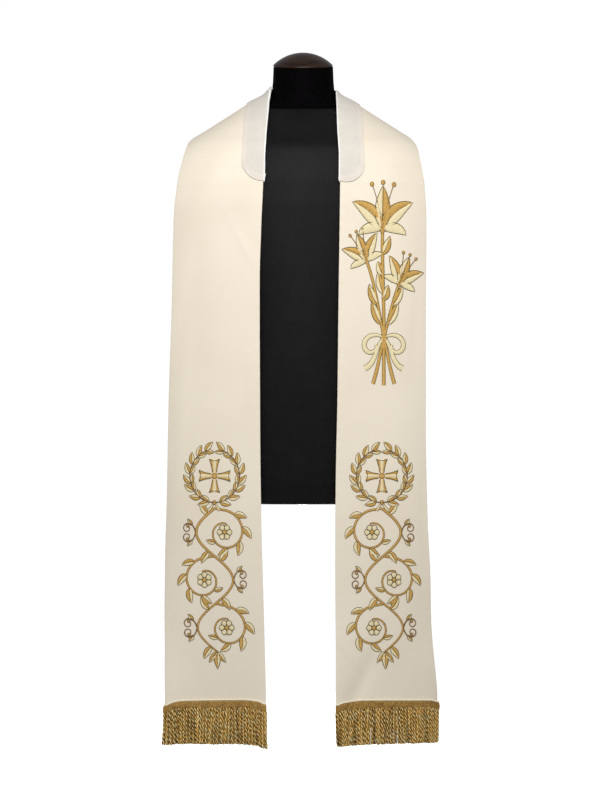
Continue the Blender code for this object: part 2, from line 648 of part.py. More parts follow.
def neck_cap(collection):
    """The domed wooden cap: part of a ball on a low edge, tilted as the neck's top is."""
    rise = CAP_RISE - CAP_EDGE
    ball = (CAP_RADIUS**2 + rise**2) / (2 * rise)
    widest = math.asin(CAP_RADIUS / ball)
    dome = []
    for step in range(CAP_STEPS + 1):
        angle = widest * step / CAP_STEPS
        dome.append((ball * math.sin(angle), CAP_RISE - ball * (1 - math.cos(angle))))
    edge = [(CAP_RADIUS, CAP_CHAMFER), (CAP_RADIUS - CAP_CHAMFER, 0), (0, 0)]
    cap = turned("neck_cap", [*dome, *edge], "dark_wood", collection)
    cap.location = (CAP_LEAN, 0, NECK_TOP + SEAM_GAP)
    cap.rotation_euler = (NECK_TILT, 0, 0)
    return cap


def stand(collection):
    """The pole up to the form's foot, and the heavy turned foot with a socket that the pole stands in."""
    inside = FOOT_EDGE + FOOT_RISE  # the bottom of the socket
    pole_top = FORM_FOOT - SEAM_GAP
    pole = [
        (0, pole_top),
        (POLE_RADIUS - POLE_CHAMFER, pole_top),
        (POLE_RADIUS, pole_top - POLE_CHAMFER),
        (POLE_RADIUS, inside + SEAM_GAP),
        (0, inside + SEAM_GAP),
    ]
    bore = POLE_RADIUS + SEAM_GAP
    dish = [
        (SOCKET_RADIUS + (FOOT_RADIUS - SOCKET_RADIUS) * share, FOOT_EDGE + FOOT_RISE * (1 - share) ** 1.5)
        for share in DISH_SHARES
    ]
    foot = [
        (0, inside),
        (bore, inside),
        (bore, SOCKET_TOP),
        (SOCKET_RADIUS - SOCKET_CHAMFER, SOCKET_TOP),
        (SOCKET_RADIUS, SOCKET_TOP - SOCKET_CHAMFER),
        *dish,
        (FOOT_RADIUS, FOOT_EDGE - FOOT_CHAMFER),
        (FOOT_RADIUS, FOOT_CHAMFER),
        (FOOT_RADIUS - FOOT_CHAMFER, 0),
        (0, 0),
    ]
    turned("stand_pole", pole, "white_enamel", collection)
    turned("stand_foot", foot, "white_enamel", collection)


def main():
    for old in list(bpy.data.objects):
        bpy.data.objects.remove(old)
    collection = bpy.data.collections.new("clerical_stole_on_dress_form")
    bpy.context.scene.collection.children.link(collection)
    for side in SIDE_SIGN:
        stole_half(side, collection)
        fringe(side, collection)
    collar_protector(collection)
    form_piece("dress_form_torso", False, collection)
    form_piece("dress_form_neck", True, collection)
    neck_cap(collection)
    stand(collection)


main()
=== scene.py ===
"""The looks of the clerical stole on its dress form: fine cloth, embroidery, fringes, light and camera.

Metres, +Z up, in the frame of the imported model: the form faces -Y and stands on z = 0. The stole's surface
is worked out with the same functions and tables as the solids, only finer, so each piece lies where its
solid is.
"Left" and "right" are the viewer's.
"""

import math
from collections import namedtuple

import bmesh
import bpy
import numpy as np
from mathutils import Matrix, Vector


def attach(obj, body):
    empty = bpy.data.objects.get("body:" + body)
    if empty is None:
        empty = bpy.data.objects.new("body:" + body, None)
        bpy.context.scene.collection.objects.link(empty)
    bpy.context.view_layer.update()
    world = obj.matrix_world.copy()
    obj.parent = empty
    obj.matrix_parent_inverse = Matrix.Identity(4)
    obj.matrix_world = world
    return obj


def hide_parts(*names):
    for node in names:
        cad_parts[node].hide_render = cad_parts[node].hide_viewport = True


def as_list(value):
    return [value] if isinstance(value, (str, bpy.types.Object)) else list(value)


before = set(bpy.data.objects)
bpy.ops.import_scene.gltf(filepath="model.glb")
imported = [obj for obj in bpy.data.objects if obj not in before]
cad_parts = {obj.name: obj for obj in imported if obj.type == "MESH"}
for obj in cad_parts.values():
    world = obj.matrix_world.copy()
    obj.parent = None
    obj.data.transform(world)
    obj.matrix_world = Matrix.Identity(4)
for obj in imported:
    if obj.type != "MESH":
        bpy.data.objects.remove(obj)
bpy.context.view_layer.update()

# ---------------------------------------------------------------- sizes that the solids have too

CLOTH, COTTON, BRAID = 0.0020, 0.0012, 0.0026  # thickness of the satin, the collar protector and the braid
FORM_FOOT, FORM_FOOT_ROUNDING, FORM_FOOT_SHARE = 0.6845, 0.004, (0.965, 0.955)  # its flat lower end
NECK_SEAM, NECK_TOP = 1.433, 1.511
NECK_LEAN, NECK_LEANS, CAP_LEAN = 0.0018, (1.435, 1.470), 0.0012
SEAM_TILT, NECK_TILT = math.radians(8), math.radians(12)
CAP_RADIUS, CAP_RISE, CAP_EDGE = 0.0566, 0.0265, 0.0030
SEAM_GAP = 0.0005  # between pieces that are sewn together
DRAPE_TOP, DRAPE_FOOT, RIDGE_FOOT = 1.490, 1.20, 1.300
CLOTH_HEM, CLOTH_END = 0.3055, 0.280
BACK_WIDTH, BACK_NARROWED, BACK_SEAM, BACK_INNER_RADIUS = 0.132, 0.75, 0.0005, 0.0715
PROTECTOR_WIDTH, PROTECTOR_OVERHANG = 0.055, 0.0035  # the overhang is past the stole's neckline
PROTECTOR_TIP, PROTECTOR_ROUNDING, PROTECTOR_BLUNT = 1.2820, 0.050, 0.002
PROTECTOR_POINT = {"left": 1.55, "right": 1.90}
BRAID_TOP, BRAID_GAP, BRAID_RETURN = 0.3205, 0.0009, 0.004
STRAND_END = 0.2430
DROP_STARTS, DROP_FULL, FOLDS_START = 0.46, 0.33, 0.04
SIDE_SIGN = {"left": -1.0, "right": 1.0}
# A row that leaves the last columns out has the drape's plain shape there.
FORM_COLUMNS = "height form_width form_depth drape_width drape_depth squareness tilt bend"
FormRow = namedtuple("FormRow", FORM_COLUMNS, defaults=(0.2900, 0.1240, 2.6, 0.0, 0.0))
FORM_ROWS = [
    FormRow(0.280, 0.160, 0.106),
    FormRow(0.684, 0.164, 0.110),
    FormRow(0.720, 0.169, 0.1135),
    FormRow(0.780, 0.171, 0.1165),
    FormRow(0.860, 0.163, 0.1200),
    FormRow(0.930, 0.151, 0.1222),
    FormRow(1.000, 0.147, 0.1228),
    FormRow(1.070, 0.150, 0.1230),
    FormRow(1.150, 0.162, 0.1231),
    FormRow(1.220, 0.175, 0.1230, 0.2890, 0.1240, 2.6, 0.00, 0.000),
    FormRow(1.270, 0.186, 0.1218, 0.2820, 0.1228, 2.6, 0.00, 0.000),
    FormRow(1.310, 0.197, 0.1186, 0.2650, 0.1196, 2.5, 0.00, 0.000),
    FormRow(1.335, 0.2025, 0.1150, 0.2480, 0.1160, 2.5, 0.03, 0.001),
    FormRow(1.355, 0.2030, 0.1108, 0.2300, 0.1118, 2.4, 0.07, 0.002),
    FormRow(1.370, 0.1950, 0.1066, 0.2120, 0.1078, 2.4, 0.12, 0.004),
    FormRow(1.385, 0.1815, 0.1014, 0.1872, 0.1028, 2.3, 0.17, 0.006),
    FormRow(1.400, 0.1610, 0.0956, 0.1634, 0.0970, 2.3, 0.22, 0.008),
    FormRow(1.420, 0.1294, 0.0871, 0.1317, 0.0888, 2.2, 0.27, 0.010),
    FormRow(1.440, 0.0974, 0.0774, 0.0999, 0.0792, 2.1, 0.31, 0.011),
    FormRow(1.462, 0.0612, 0.0640, 0.0662, 0.0662, 2.0, 0.33, 0.012),
    FormRow(1.474, 0.0586, 0.0600, 0.0600, 0.0614, 2.0, 0.30, 0.010),
    FormRow(1.492, 0.0574, 0.0580, 0.0584, 0.0590, 2.0, 0.20, 0.005),
    FormRow(1.512, 0.0566, 0.0566, 0.0576, 0.0576, 2.0, 0.2126, 0.000),
]

# One row for each height of a hanging end: where its inner and outer edges hang, out from the form's middle,
# and how far each edge swings off the drape ring (forward is negative), left out where it is nothing.
EndRow = namedtuple("EndRow", "height inner outer inner_swing outer_swing", defaults=(0.0, 0.0))
END_ROWS = {
    "left": [
        EndRow(0.280, 0.0680, 0.2465, 0.003, -0.024),
        EndRow(0.319, 0.0683, 0.2463, 0.003, -0.023),
        EndRow(0.397, 0.0694, 0.2498, 0.003, -0.021),
        EndRow(0.545, 0.0729, 0.2547, 0.003, -0.017),
        EndRow(0.693, 0.0764, 0.2514, 0.002, -0.013),
        EndRow(0.878, 0.0780, 0.2482, 0.001, -0.008),
        EndRow(1.063, 0.0786, 0.2424, 0.000, -0.003),
        EndRow(1.192, 0.0760, 0.2396),
        EndRow(1.270, 0.0726, 0.2339),
        EndRow(1.304, 0.0717, 0.2283),
        EndRow(1.326, 0.0715, 0.2231),
        EndRow(1.349, 0.0703, 0.2174),
        EndRow(1.361, 0.0697, 0.2147),
        EndRow(1.372, 0.0691, 0.2120),
        EndRow(1.420, 0.0655, 0.2000),
        EndRow(1.462, 0.0636, 0.1900),
    ],
    "right": [
        EndRow(0.280, 0.0614, 0.2518, -0.004, -0.014),
        EndRow(0.319, 0.0614, 0.2494, -0.004, -0.013),
        EndRow(0.397, 0.0616, 0.2433, -0.003, -0.012),
        EndRow(0.545, 0.0606, 0.2378, -0.002, -0.010),
        EndRow(0.693, 0.0611, 0.2310, -0.001, -0.008),
        EndRow(0.878, 0.0644, 0.2286, 0.000, -0.005),
        EndRow(1.063, 0.0665, 0.2289, 0.000, -0.002),
        EndRow(1.192, 0.0684, 0.2300),
        EndRow(1.270, 0.0694, 0.2272),
        EndRow(1.304, 0.0700, 0.2228),
        EndRow(1.326, 0.0702, 0.2189),
        EndRow(1.349, 0.0692, 0.2152),
        EndRow(1.361, 0.0686, 0.2107),
        EndRow(1.372, 0.0679, 0.2054),
        EndRow(1.420, 0.0664, 0.1950),
        EndRow(1.462, 0.0650, 0.1850),
    ],
}

# One row for each soft fold: where it is deepest (height, and the share of the width from the neckline), how
# far it reaches up and across, its slant (share of the width for each metre up), and its rise off the cloth.
Fold = namedtuple("Fold", "height across reach_up reach_across slant rise")
FOLDS = {
    "left": [
        Fold(0.270, 1.02, 0.150, 0.15, 0.0, 0.020),  # outer corner of the hem curls forward
        Fold(0.270, -0.04, 0.130, 0.22, 0.0, 0.018),  # inner corner of the hem
        Fold(0.420, 0.55, 0.140, 0.30, 0.6, -0.0035),  # shallow hollow between them
        Fold(0.800, 0.30, 0.220, 0.22, 0.3, 0.0022),
        Fold(1.040, 0.72, 0.180, 0.20, -0.5, -0.0022),
        Fold(1.200, 0.40, 0.055, 0.20, -2.0, -0.0030),  # trough under the collar bone
        Fold(1.255, 0.66, 0.060, 0.16, -2.0, 0.0028),
    ],
    "right": [
        Fold(0.270, -0.04, 0.170, 0.28, 0.0, 0.026),  # inner corner of the hem curls forward
        Fold(0.345, 0.22, 0.080, 0.10, 2.6, -0.0050),  # slanting crease beside it
        Fold(0.360, 1.00, 0.060, 0.20, 0.0, 0.0045),  # wave in the outer edge
        Fold(0.470, 0.98, 0.070, 0.24, 0.0, -0.0035),
        Fold(0.760, 0.66, 0.240, 0.22, -0.3, 0.0022),
        Fold(1.180, 0.45, 0.080, 0.20, 1.5, -0.0020),
        Fold(1.300, 0.60, 0.050, 0.18, 1.5, 0.0018),
    ],
}

# How far the hem drops below level across its width, from the neckline's side to the outer edge.
DropRow = namedtuple("DropRow", "across cloth strands")
DROPS = {
    "left": [
        DropRow(-0.20, 0.0050, 0.0120),
        DropRow(0.00, 0.0045, 0.0110),
        DropRow(0.10, 0.0020, 0.0040),
        DropRow(0.25, 0.0000, 0.0005),
        DropRow(0.86, 0.0000, 0.0005),
        DropRow(1.00, 0.0045, 0.0060),
        DropRow(1.20, 0.0050, 0.0070),
    ],
    "right": [
        DropRow(-0.20, 0.0050, 0.0050),
        DropRow(0.00, 0.0042, 0.0045),
        DropRow(0.15, 0.0020, 0.0025),
        DropRow(0.32, 0.0002, 0.0000),
        DropRow(0.85, 0.0000, 0.0000),
        DropRow(1.00, 0.0006, 0.0020),
        DropRow(1.20, 0.0010, 0.0030),
    ],
}

# How finely the smooth surface is followed while points are placed on it.
FRONT_SAMPLES, BACK_SAMPLES, RIDGE_SAMPLES, HEIGHT_SAMPLES = 150, 220, 400, 120
EDGE_ROUNDS = 12

# ---------------------------------------------------------------- the smooth drape, as in the solids


def smooth_curve(places, values):
    """A function through the points that has no wiggles between them: a monotone cubic."""
    places, values = np.array(places, float), np.array(values, float)
    steps = np.diff(places)
    slopes = np.diff(values) / steps
    tangents = np.concatenate([slopes[:1], np.zeros(len(slopes) - 1), slopes[-1:]])
    for i in range(1, len(slopes)):
        if slopes[i - 1] * slopes[i] > 0:
            tangents[i] = 2 / (1 / slopes[i - 1] + 1 / slopes[i])

    def at(place):
        place = np.clip(place, places[0], places[-1])
        i = np.clip(np.searchsorted(places, place, side="right") - 1, 0, len(steps) - 1)
        u = (place - places[i]) / steps[i]
        left = values[i] + u * steps[i] * tangents[i]
        right = values[i + 1] + (u - 1) * steps[i] * tangents[i + 1]
        weight = u * u * (3 - 2 * u)
        return left * (1 - weight) + right * weight

    return at


def columns(rows, key):
    """Each other column of a table as a smooth function of the key column."""
    places = [getattr(row, key) for row in rows]
    return {
        name: smooth_curve(places, [getattr(row, name) for row in rows])
        for name in rows[0]._fields
        if name != key
    }


def smooth_step(value, start, end):
    share = np.clip((value - start) / (end - start), 0, 1)
    return share * share * (3 - 2 * share)


FORM = columns(FORM_ROWS, "height")
ENDS = {side: columns(rows, "height") for side, rows in END_ROWS.items()}
HEM_DROP = {side: columns(rows, "across") for side, rows in DROPS.items()}
RIDGE_HEIGHTS = np.linspace(RIDGE_FOOT, DRAPE_TOP, RIDGE_SAMPLES)
RIDGE_WIDTHS = FORM["drape_width"](RIDGE_HEIGHTS)


def form_ring(height, angle):
    """A point of the form's own surface: angle 0 is its side, -90 degrees its front."""
    power = 2 / FORM["squareness"](height)
    across = np.sign(np.cos(angle)) * np.abs(np.cos(angle)) ** power
    deep = np.sign(np.sin(angle)) * np.abs(np.sin(angle)) ** power
    y = FORM["form_depth"](height) * deep
    lift = FORM["tilt"](height) * y - FORM["bend"](height) * (1 - across**2)
    x = FORM["form_width"](height) * across + NECK_LEAN * smooth_step(height, *NECK_LEANS)
    return np.stack([x, y, height + lift], axis=-1)


def along(place, places, points):
    """The point or points at a place along one polyline whose points lie at the given places."""
    return np.stack([np.interp(place, places, points[:, axis]) for axis in range(3)], axis=-1)


def run(points):
    """The length along a line of points up to each of them."""
    return np.concatenate([[0], np.cumsum(np.linalg.norm(np.diff(points, axis=0), axis=1))])


def place_on_line(line, lengths, wanted):
    """The points at the wanted lengths along each polyline."""
    return np.array([along(place, one, points) for place, one, points in zip(wanted, lengths, line)])


def lengths_of(line):
    """The length along each polyline up to each of its points."""
    steps = np.linalg.norm(np.diff(line, axis=1), axis=2)
    return np.concatenate([np.zeros((len(line), 1)), np.cumsum(steps, axis=1)], axis=1)


def front_point(x, share):
    """Where the cloth is, x out from the middle and at this share of the way from the ridge to the end."""
    ridge = np.interp(x, RIDGE_WIDTHS[::-1], RIDGE_HEIGHTS[::-1])
    spread = np.linspace(0, 1, FRONT_SAMPLES) ** 2
    heights = ridge[:, None] - (ridge - CLOTH_END)[:, None] * spread
    ratio = np.clip(x[:, None] / FORM["drape_width"](heights), 0, 1)
    squareness = FORM["squareness"](heights)
    y = -FORM["drape_depth"](heights) * (1 - ratio**squareness) ** (1 / squareness)
    z = heights + FORM["tilt"](heights) * y - FORM["bend"](heights) * (1 - ratio**2)
    line = np.stack([np.broadcast_to(x[:, None], y.shape), y, z], axis=2)
    lengths = lengths_of(line)
    return place_on_line(line, lengths, share * lengths[:, -1])


def edges(side, share):
    """How far out the inner and outer edges of a front are, at that share of the way down."""
    found = []
    for column in ("inner", "outer"):
        place = ENDS[side][column]
        x = place(np.full(share.shape, RIDGE_FOOT))
        for _ in range(EDGE_ROUNDS):
            x = 0.5 * x + 0.5 * place(front_point(x, share)[:, 2])
        found.append(x)
    return found


def back_lines(turn):
    """Lines down the drape surface from the neck at each turn: their points, radii and lengths."""
    angle = turn * math.pi / 2
    heights = np.linspace(DRAPE_TOP, DRAPE_FOOT, BACK_SAMPLES)
    squareness = FORM["squareness"](heights)
    cos, sin = np.cos(angle)[:, None], np.sin(angle)[:, None]
    width, depth = FORM["drape_width"](heights), FORM["drape_depth"](heights)
    reach = np.abs(cos / width) ** squareness + np.abs(sin / depth) ** squareness
    radius = reach ** (-1 / squareness)
    x, y = radius * cos, radius * sin
    z = heights + FORM["tilt"](heights) * y - FORM["bend"](heights) * (1 - (x / width) ** 2)
    line = np.stack([x, y, z], axis=2)
    return line, radius, lengths_of(line)


RIDGE_RADIUS, RIDGE_LENGTH = (found[0] for found in back_lines(np.zeros(1))[1:])
RIDGE_EDGES = {side: [float(edge[0]) for edge in edges(side, np.zeros(1))] for side in SIDE_SIGN}


def ridge_width(side):
    start, end = np.interp(RIDGE_EDGES[side], RIDGE_RADIUS, RIDGE_LENGTH)
    return end - start


def ridge_share(side, across):
    """Where on the ridge, from edge to edge, a place lies that is this far across as seen from the front."""
    inner, outer = RIDGE_EDGES[side]
    start = np.interp(inner, RIDGE_RADIUS, RIDGE_LENGTH)
    place = np.interp(inner + (outer - inner) * across, RIDGE_RADIUS, RIDGE_LENGTH)
    return (place - start) / ridge_width(side)


def back_point(side, turn, across):
    """Where the cloth is behind the ridge: turn runs from 0 at the side to 1 at the centre back."""
    line, radius, lengths = back_lines(turn)
    side_inner, side_width = RIDGE_EDGES[side][0], ridge_width(side)
    blend = smooth_step(turn, 0, 1)
    inner = side_inner + (BACK_INNER_RADIUS - side_inner) * blend
    wide = side_width + (BACK_WIDTH - side_width) * smooth_step(turn, 0, BACK_NARROWED)
    starts = np.array([np.interp(i, r, one) for i, r, one in zip(inner, radius, lengths)])
    share = ridge_share(side, across) * (1 - blend) + across * blend
    found = place_on_line(line, lengths, starts + wide * share)
    found[:, 0] += BACK_SEAM / 2 * blend
    return found


def smooth_cloth(side, station, across):
    """The stole's inner face before its folds.

    Station -1 is the centre back, 0 the shoulder ridge and 1 the end.
    """
    points = np.empty((len(station), 3))
    back = station < 0
    if back.any():
        points[back] = back_point(side, -station[back], across[back])
    if (~back).any():
        share, place = station[~back], across[~back]
        shares, index = np.unique(share, return_inverse=True)
        inner, outer = (edge[index] for edge in edges(side, shares))
        hanging = front_point(inner + (outer - inner) * place, share)
        end = ENDS[side]
        inner_swing, outer_swing = end["inner_swing"](hanging[:, 2]), end["outer_swing"](hanging[:, 2])
        hanging[:, 1] += inner_swing + (outer_swing - inner_swing) * place
        grown = 1 - smooth_step(hanging[:, 2], DROP_FULL, DROP_STARTS)
        hanging[:, 2] -= HEM_DROP[side]["cloth"](place) * grown
        points[~back] = hanging
    points[:, 0] *= SIDE_SIGN[side]
    return points


def rise_of_folds(side, points, station, across):
    """How far the folds lift the cloth off its smooth shape."""
    rise = np.zeros(len(points))
    for fold in FOLDS[side]:
        up = points[:, 2] - fold.height
        beside = across - fold.across - fold.slant * up
        rise += fold.rise * np.exp(-((up / fold.reach_up) ** 2) - (beside / fold.reach_across) ** 2)
    return rise * smooth_step(station, 0, FOLDS_START)


def station_at(side, height, across=0.5):
    """The station at which the front's smooth surface has come down to this height."""
    stations = np.linspace(0, 1, HEIGHT_SAMPLES)
    heights = smooth_cloth(side, stations, np.full(HEIGHT_SAMPLES, across))[:, 2]
    return float(np.interp(-height, -heights, stations))


# ---------------------------------------------------------------- the cloth as a fine table

# One row for each crease that is finer than the folds: its middle (height, share of the width from the
# neckline), half its length and half its width in metres, its lean off upright in degrees, and its rise.
Crease = namedtuple("Crease", "height across length width lean rise")
CREASES = {
    "left": [
        Crease(1.165, 0.20, 0.070, 0.0090, 34, 0.0007),
        Crease(1.100, 0.78, 0.090, 0.0120, -12, -0.0007),
        Crease(0.930, 0.12, 0.120, 0.0100, 3, 0.0006),
        Crease(0.840, 0.86, 0.150, 0.0130, -2, 0.0008),
        Crease(0.560, 0.07, 0.160, 0.0080, 1, -0.0007),
        Crease(0.470, 0.93, 0.100, 0.0090, -3, -0.0008),
        Crease(0.360, 0.30, 0.045, 0.0110, -14, 0.0010),
        Crease(0.345, 0.68, 0.040, 0.0100, 9, -0.0008),
    ],
    "right": [
        Crease(1.235, 0.34, 0.045, 0.0070, -58, 0.0009),
        Crease(1.205, 0.16, 0.050, 0.0080, -40, -0.0006),
        Crease(1.010, 0.88, 0.110, 0.0110, 4, -0.0007),
        Crease(0.900, 0.10, 0.100, 0.0100, -2, 0.0006),
        Crease(0.640, 0.95, 0.130, 0.0090, 2, -0.0007),
        Crease(0.400, 0.16, 0.055, 0.0060, -35, 0.0012),
        Crease(0.375, 0.24, 0.045, 0.0070, -38, -0.0012),
        Crease(0.350, 0.72, 0.040, 0.0120, 8, 0.0008),
    ],
}
PUCKER = 0.00022  # rise of the ripples that stitching leaves beside an edge
PUCKER_PITCH, PUCKER_REACH = 0.023, 0.007
DRAPE_SWELL = 0.00035  # of the cloth's slow unevenness
TABLE_STEP = 0.004  # along the cloth
BACK_ROWS, TABLE_COLUMNS = 62, 57
FRONT_LENGTH = 1.20  # of the hanging surface from ridge to end, near enough for spacing


def rise_of_creases(side, points, across, width):
    """How far the finer creases, the ripples at the edges and the slow swell lift the cloth."""
    beside = (across - 0.5) * width
    rise = np.zeros(len(points))
    in_front = points[:, 1] < 0
    for crease in CREASES[side]:
        up = points[:, 2] - crease.height
        out = beside - (crease.across - 0.5) * width
        lean = math.radians(crease.lean)
        lengthwise = up * math.cos(lean) + out * math.sin(lean)
        sideways = out * math.cos(lean) - up * math.sin(lean)
        reach = (lengthwise / crease.length) ** 2 + (sideways / crease.width) ** 2
        rise += crease.rise * np.exp(-reach) * in_front
    to_edge = (0.5 - np.abs(across - 0.5)) * width
    down = points[:, 2] + 0.4 * points[:, 1]
    ripple = np.sin(down * 2 * math.pi / PUCKER_PITCH + 3 * np.sin(down * 17) + 5 * across)
    rise += PUCKER * ripple * np.exp(-np.abs(to_edge) / PUCKER_REACH)
    swell = np.sin(down * 23 + across * 5 + 1) * np.sin(down * 11 - across * 7 + 2)
    return rise + DRAPE_SWELL * swell * smooth_step(np.abs(to_edge), 0, 0.03)


class Cloth:
    """One half of the stole: its outer face as a table of points and normals, read between them."""

    def __init__(self, side):
        self.side = side
        back = -np.linspace(1, 0, BACK_ROWS)[:-1]
        front = np.linspace(0, 1, round(FRONT_LENGTH / TABLE_STEP))
        self.stations = np.concatenate([back, front])
        beside = np.array([0.012, 0.024, 0.034])
        self.across = np.concatenate([-beside[::-1], np.linspace(0, 1, TABLE_COLUMNS), 1 + beside[:2]])
        self.inside = slice(len(beside), -2)
        station, across = (a.ravel() for a in np.meshgrid(self.stations, self.across, indexing="ij"))
        shape = (len(self.stations), len(self.across), 3)
        smooth = smooth_cloth(side, station, across)
        grid = smooth.reshape(shape)
        self.widths = np.linalg.norm(np.diff(grid[:, self.inside], axis=1), axis=2).sum(axis=1)
        width = np.repeat(self.widths, shape[1])
        rise = rise_of_folds(side, smooth, station, across) + rise_of_creases(side, smooth, across, width)
        self.points = grid + self.find_normals(grid) * (CLOTH + rise.reshape(shape[:2]))[..., None]
        self.normals = self.find_normals(self.points)
        self.lengths = run(self.points[:, shape[1] // 2])

    def find_normals(self, grid):
        down = np.gradient(grid, self.stations, axis=0)
        out = np.gradient(grid, self.across, axis=1)
        normals = np.cross(down, out) * SIDE_SIGN[self.side]
        return normals / np.linalg.norm(normals, axis=2)[..., None]

    def at(self, station, across, lift=0.0):
        """Points over the outer face at stations and shares of the width, arrays of one shape."""
        station, across, lift = np.broadcast_arrays(station, across, lift)
        row, row_share = self.between(self.stations, station)
        column, column_share = self.between(self.across, across)
        found = []
        for table in (self.points, self.normals):
            near = table[row, column] * (1 - column_share) + table[row, column + 1] * column_share
            far = table[row + 1, column] * (1 - column_share) + table[row + 1, column + 1] * column_share
            found.append(near * (1 - row_share) + far * row_share)
        return found[0] + found[1] * lift[..., None]

    @staticmethod
    def between(places, wanted):
        index = np.clip(np.searchsorted(places, wanted, side="right") - 1, 0, len(places) - 2)
        share = (wanted - places[index]) / (places[index + 1] - places[index])
        return index, share[..., None]

    def width_at(self, station):
        return np.interp(station, self.stations, self.widths)

    def length_at(self, station):
        return np.interp(station, self.stations, self.lengths)


# ---------------------------------------------------------------- meshes


class Solid:
    """Closed bodies gathered in one mesh, each a row of closed rings, with flat coordinates and a finish."""

    def __init__(self):
        self.points, self.faces, self.flats, self.finishes = [], [], [], []
        self.count = 0

    def loft(self, rings, finish=0, round_places=None, length_places=None, looped=False):
        """Joins rings of points, an array (rings, points, 3), and closes the ends with caps."""
        rows, cols = rings.shape[:2]
        if round_places is None:
            round_places = np.linspace(0, 1, cols + 1)
        if length_places is None:
            middle = rings.mean(axis=1)
            steps = np.linalg.norm(np.diff(middle, axis=0, append=middle[:1]), axis=1)
            length_places = np.concatenate([[0], np.cumsum(steps)])
        index = self.count + np.arange(rows * cols).reshape(rows, cols)
        wide = np.hstack([index, index[:, :1]])
        if looped:
            wide = np.vstack([wide, wide[:1]])
        flat = np.stack(np.meshgrid(round_places, length_places[: len(wide)]), axis=-1)
        corners = [(0, 0), (0, 1), (1, 1), (1, 0)]
        high, broad = wide.shape[0] - 1, wide.shape[1] - 1
        quads = np.stack([wide[r : r + high, c : c + broad] for r, c in corners], axis=-1)
        places = np.stack([flat[r : r + high, c : c + broad] for r, c in corners], axis=-2)
        self.faces += quads.reshape(-1, 4).tolist()
        self.flats.append(places.reshape(-1, 2))
        made = high * broad
        if not looped:
            self.faces += [index[0, ::-1].tolist(), index[-1].tolist()]
            self.flats += [flat[0, :-1][::-1], flat[-1, :-1]]
            made += 2
        self.finishes += [finish] * made
        self.points.append(rings.reshape(-1, 3))
        self.count += rows * cols

    def finish(self, name, materials, sharp_angle=50):
        """Makes the object, its faces turned outwards."""
        mesh = bpy.data.meshes.new(name)
        mesh.from_pydata(np.concatenate(self.points).tolist(), [], self.faces)
        flat = mesh.uv_layers.new(name="flat")
        flat.data.foreach_set("uv", np.concatenate(self.flats).astype(np.float32).ravel())
        mesh.polygons.foreach_set("material_index", self.finishes)
        bm = bmesh.new()
        bm.from_mesh(mesh)
        bmesh.ops.recalc_face_normals(bm, faces=bm.faces)
        bm.to_mesh(mesh)
        bm.free()
        for material in materials:
            mesh.materials.append(material)
        mesh.shade_smooth()
        mesh.set_sharp_from_angle(angle=math.radians(sharp_angle))
        made = bpy.data.objects.new(name, mesh)
        bpy.context.scene.collection.objects.link(made)
        return made


def unit(vectors):
    return vectors / np.linalg.norm(vectors, axis=-1, keepdims=True)


def tube_rings(path, radius, sides, groove=0.0, twist=0.0, start=0.0, up=(0, -1, 0)):
    """Rings round a path. A groove parts the section in two plies, and twist turns it, in radians a metre."""
    tangent = unit(np.gradient(path, axis=0))
    across = unit(np.cross(tangent, np.broadcast_to(up, path.shape)))
    other = np.cross(across, tangent)
    angle = np.arange(sides) * 2 * math.pi / sides
    section = 1 - groove * np.sin(angle) ** 2
    radius = np.broadcast_to(radius, len(path))
    turned = angle[None, :] + (start + run(path) * twist)[:, None]
    out = (section * radius[:, None])[..., None]
    return path[:, None] + out * (
        np.cos(turned)[..., None] * across[:, None] + np.sin(turned)[..., None] * other[:, None]
    )


# ---------------------------------------------------------------- embroidery, drawn flat in millimetres

CREAM, GOLD, BROWN, OLIVE = range(4)
PUFF = 1.1  # height of the padding under wide satin stitch
PUFF_SHARE = 0.24  # of a narrow element's width
SUNK = 0.15  # how far an element's rim lies in the cloth
LINE = 0.75  # radius of an outline thread
SMALL_LEAF = 30.0  # leaves shorter than this have a finer outline
UPRIGHT_ROUNDS = 4  # in which a point comes to its height


def bend(start, heading, length, first, last, step=2.0):
    """A plane curve from a point, its turning in degrees a millimetre changing evenly from first to last."""
    count = max(6, round(length / step))
    share = np.linspace(0, 1, count)
    angle = np.radians(heading + length * (first * share + (last - first) * share**2 / 2))
    middle = (angle[1:] + angle[:-1]) / 2
    steps = np.stack([np.cos(middle), np.sin(middle)], axis=1) * length / (count - 1)
    return np.array(start, float) + np.concatenate([np.zeros((1, 2)), np.cumsum(steps, axis=0)])


def sideways(curve):
    tangent = unit(np.gradient(curve, axis=0))
    return np.stack([-tangent[:, 1], tangent[:, 0]], axis=1)


def heading_at(curve, index):
    step = curve[index] - curve[index - 1]
    return math.degrees(math.atan2(step[1], step[0]))


def towards(heading):
    """The unit step in a heading in degrees."""
    return np.array([math.cos(math.radians(heading)), math.sin(math.radians(heading))])


def circle(centre, radius, count=14):
    angle = np.arange(count) * 2 * math.pi / count
    return np.array(centre, float) + radius * np.stack([np.cos(angle), np.sin(angle)], axis=1)


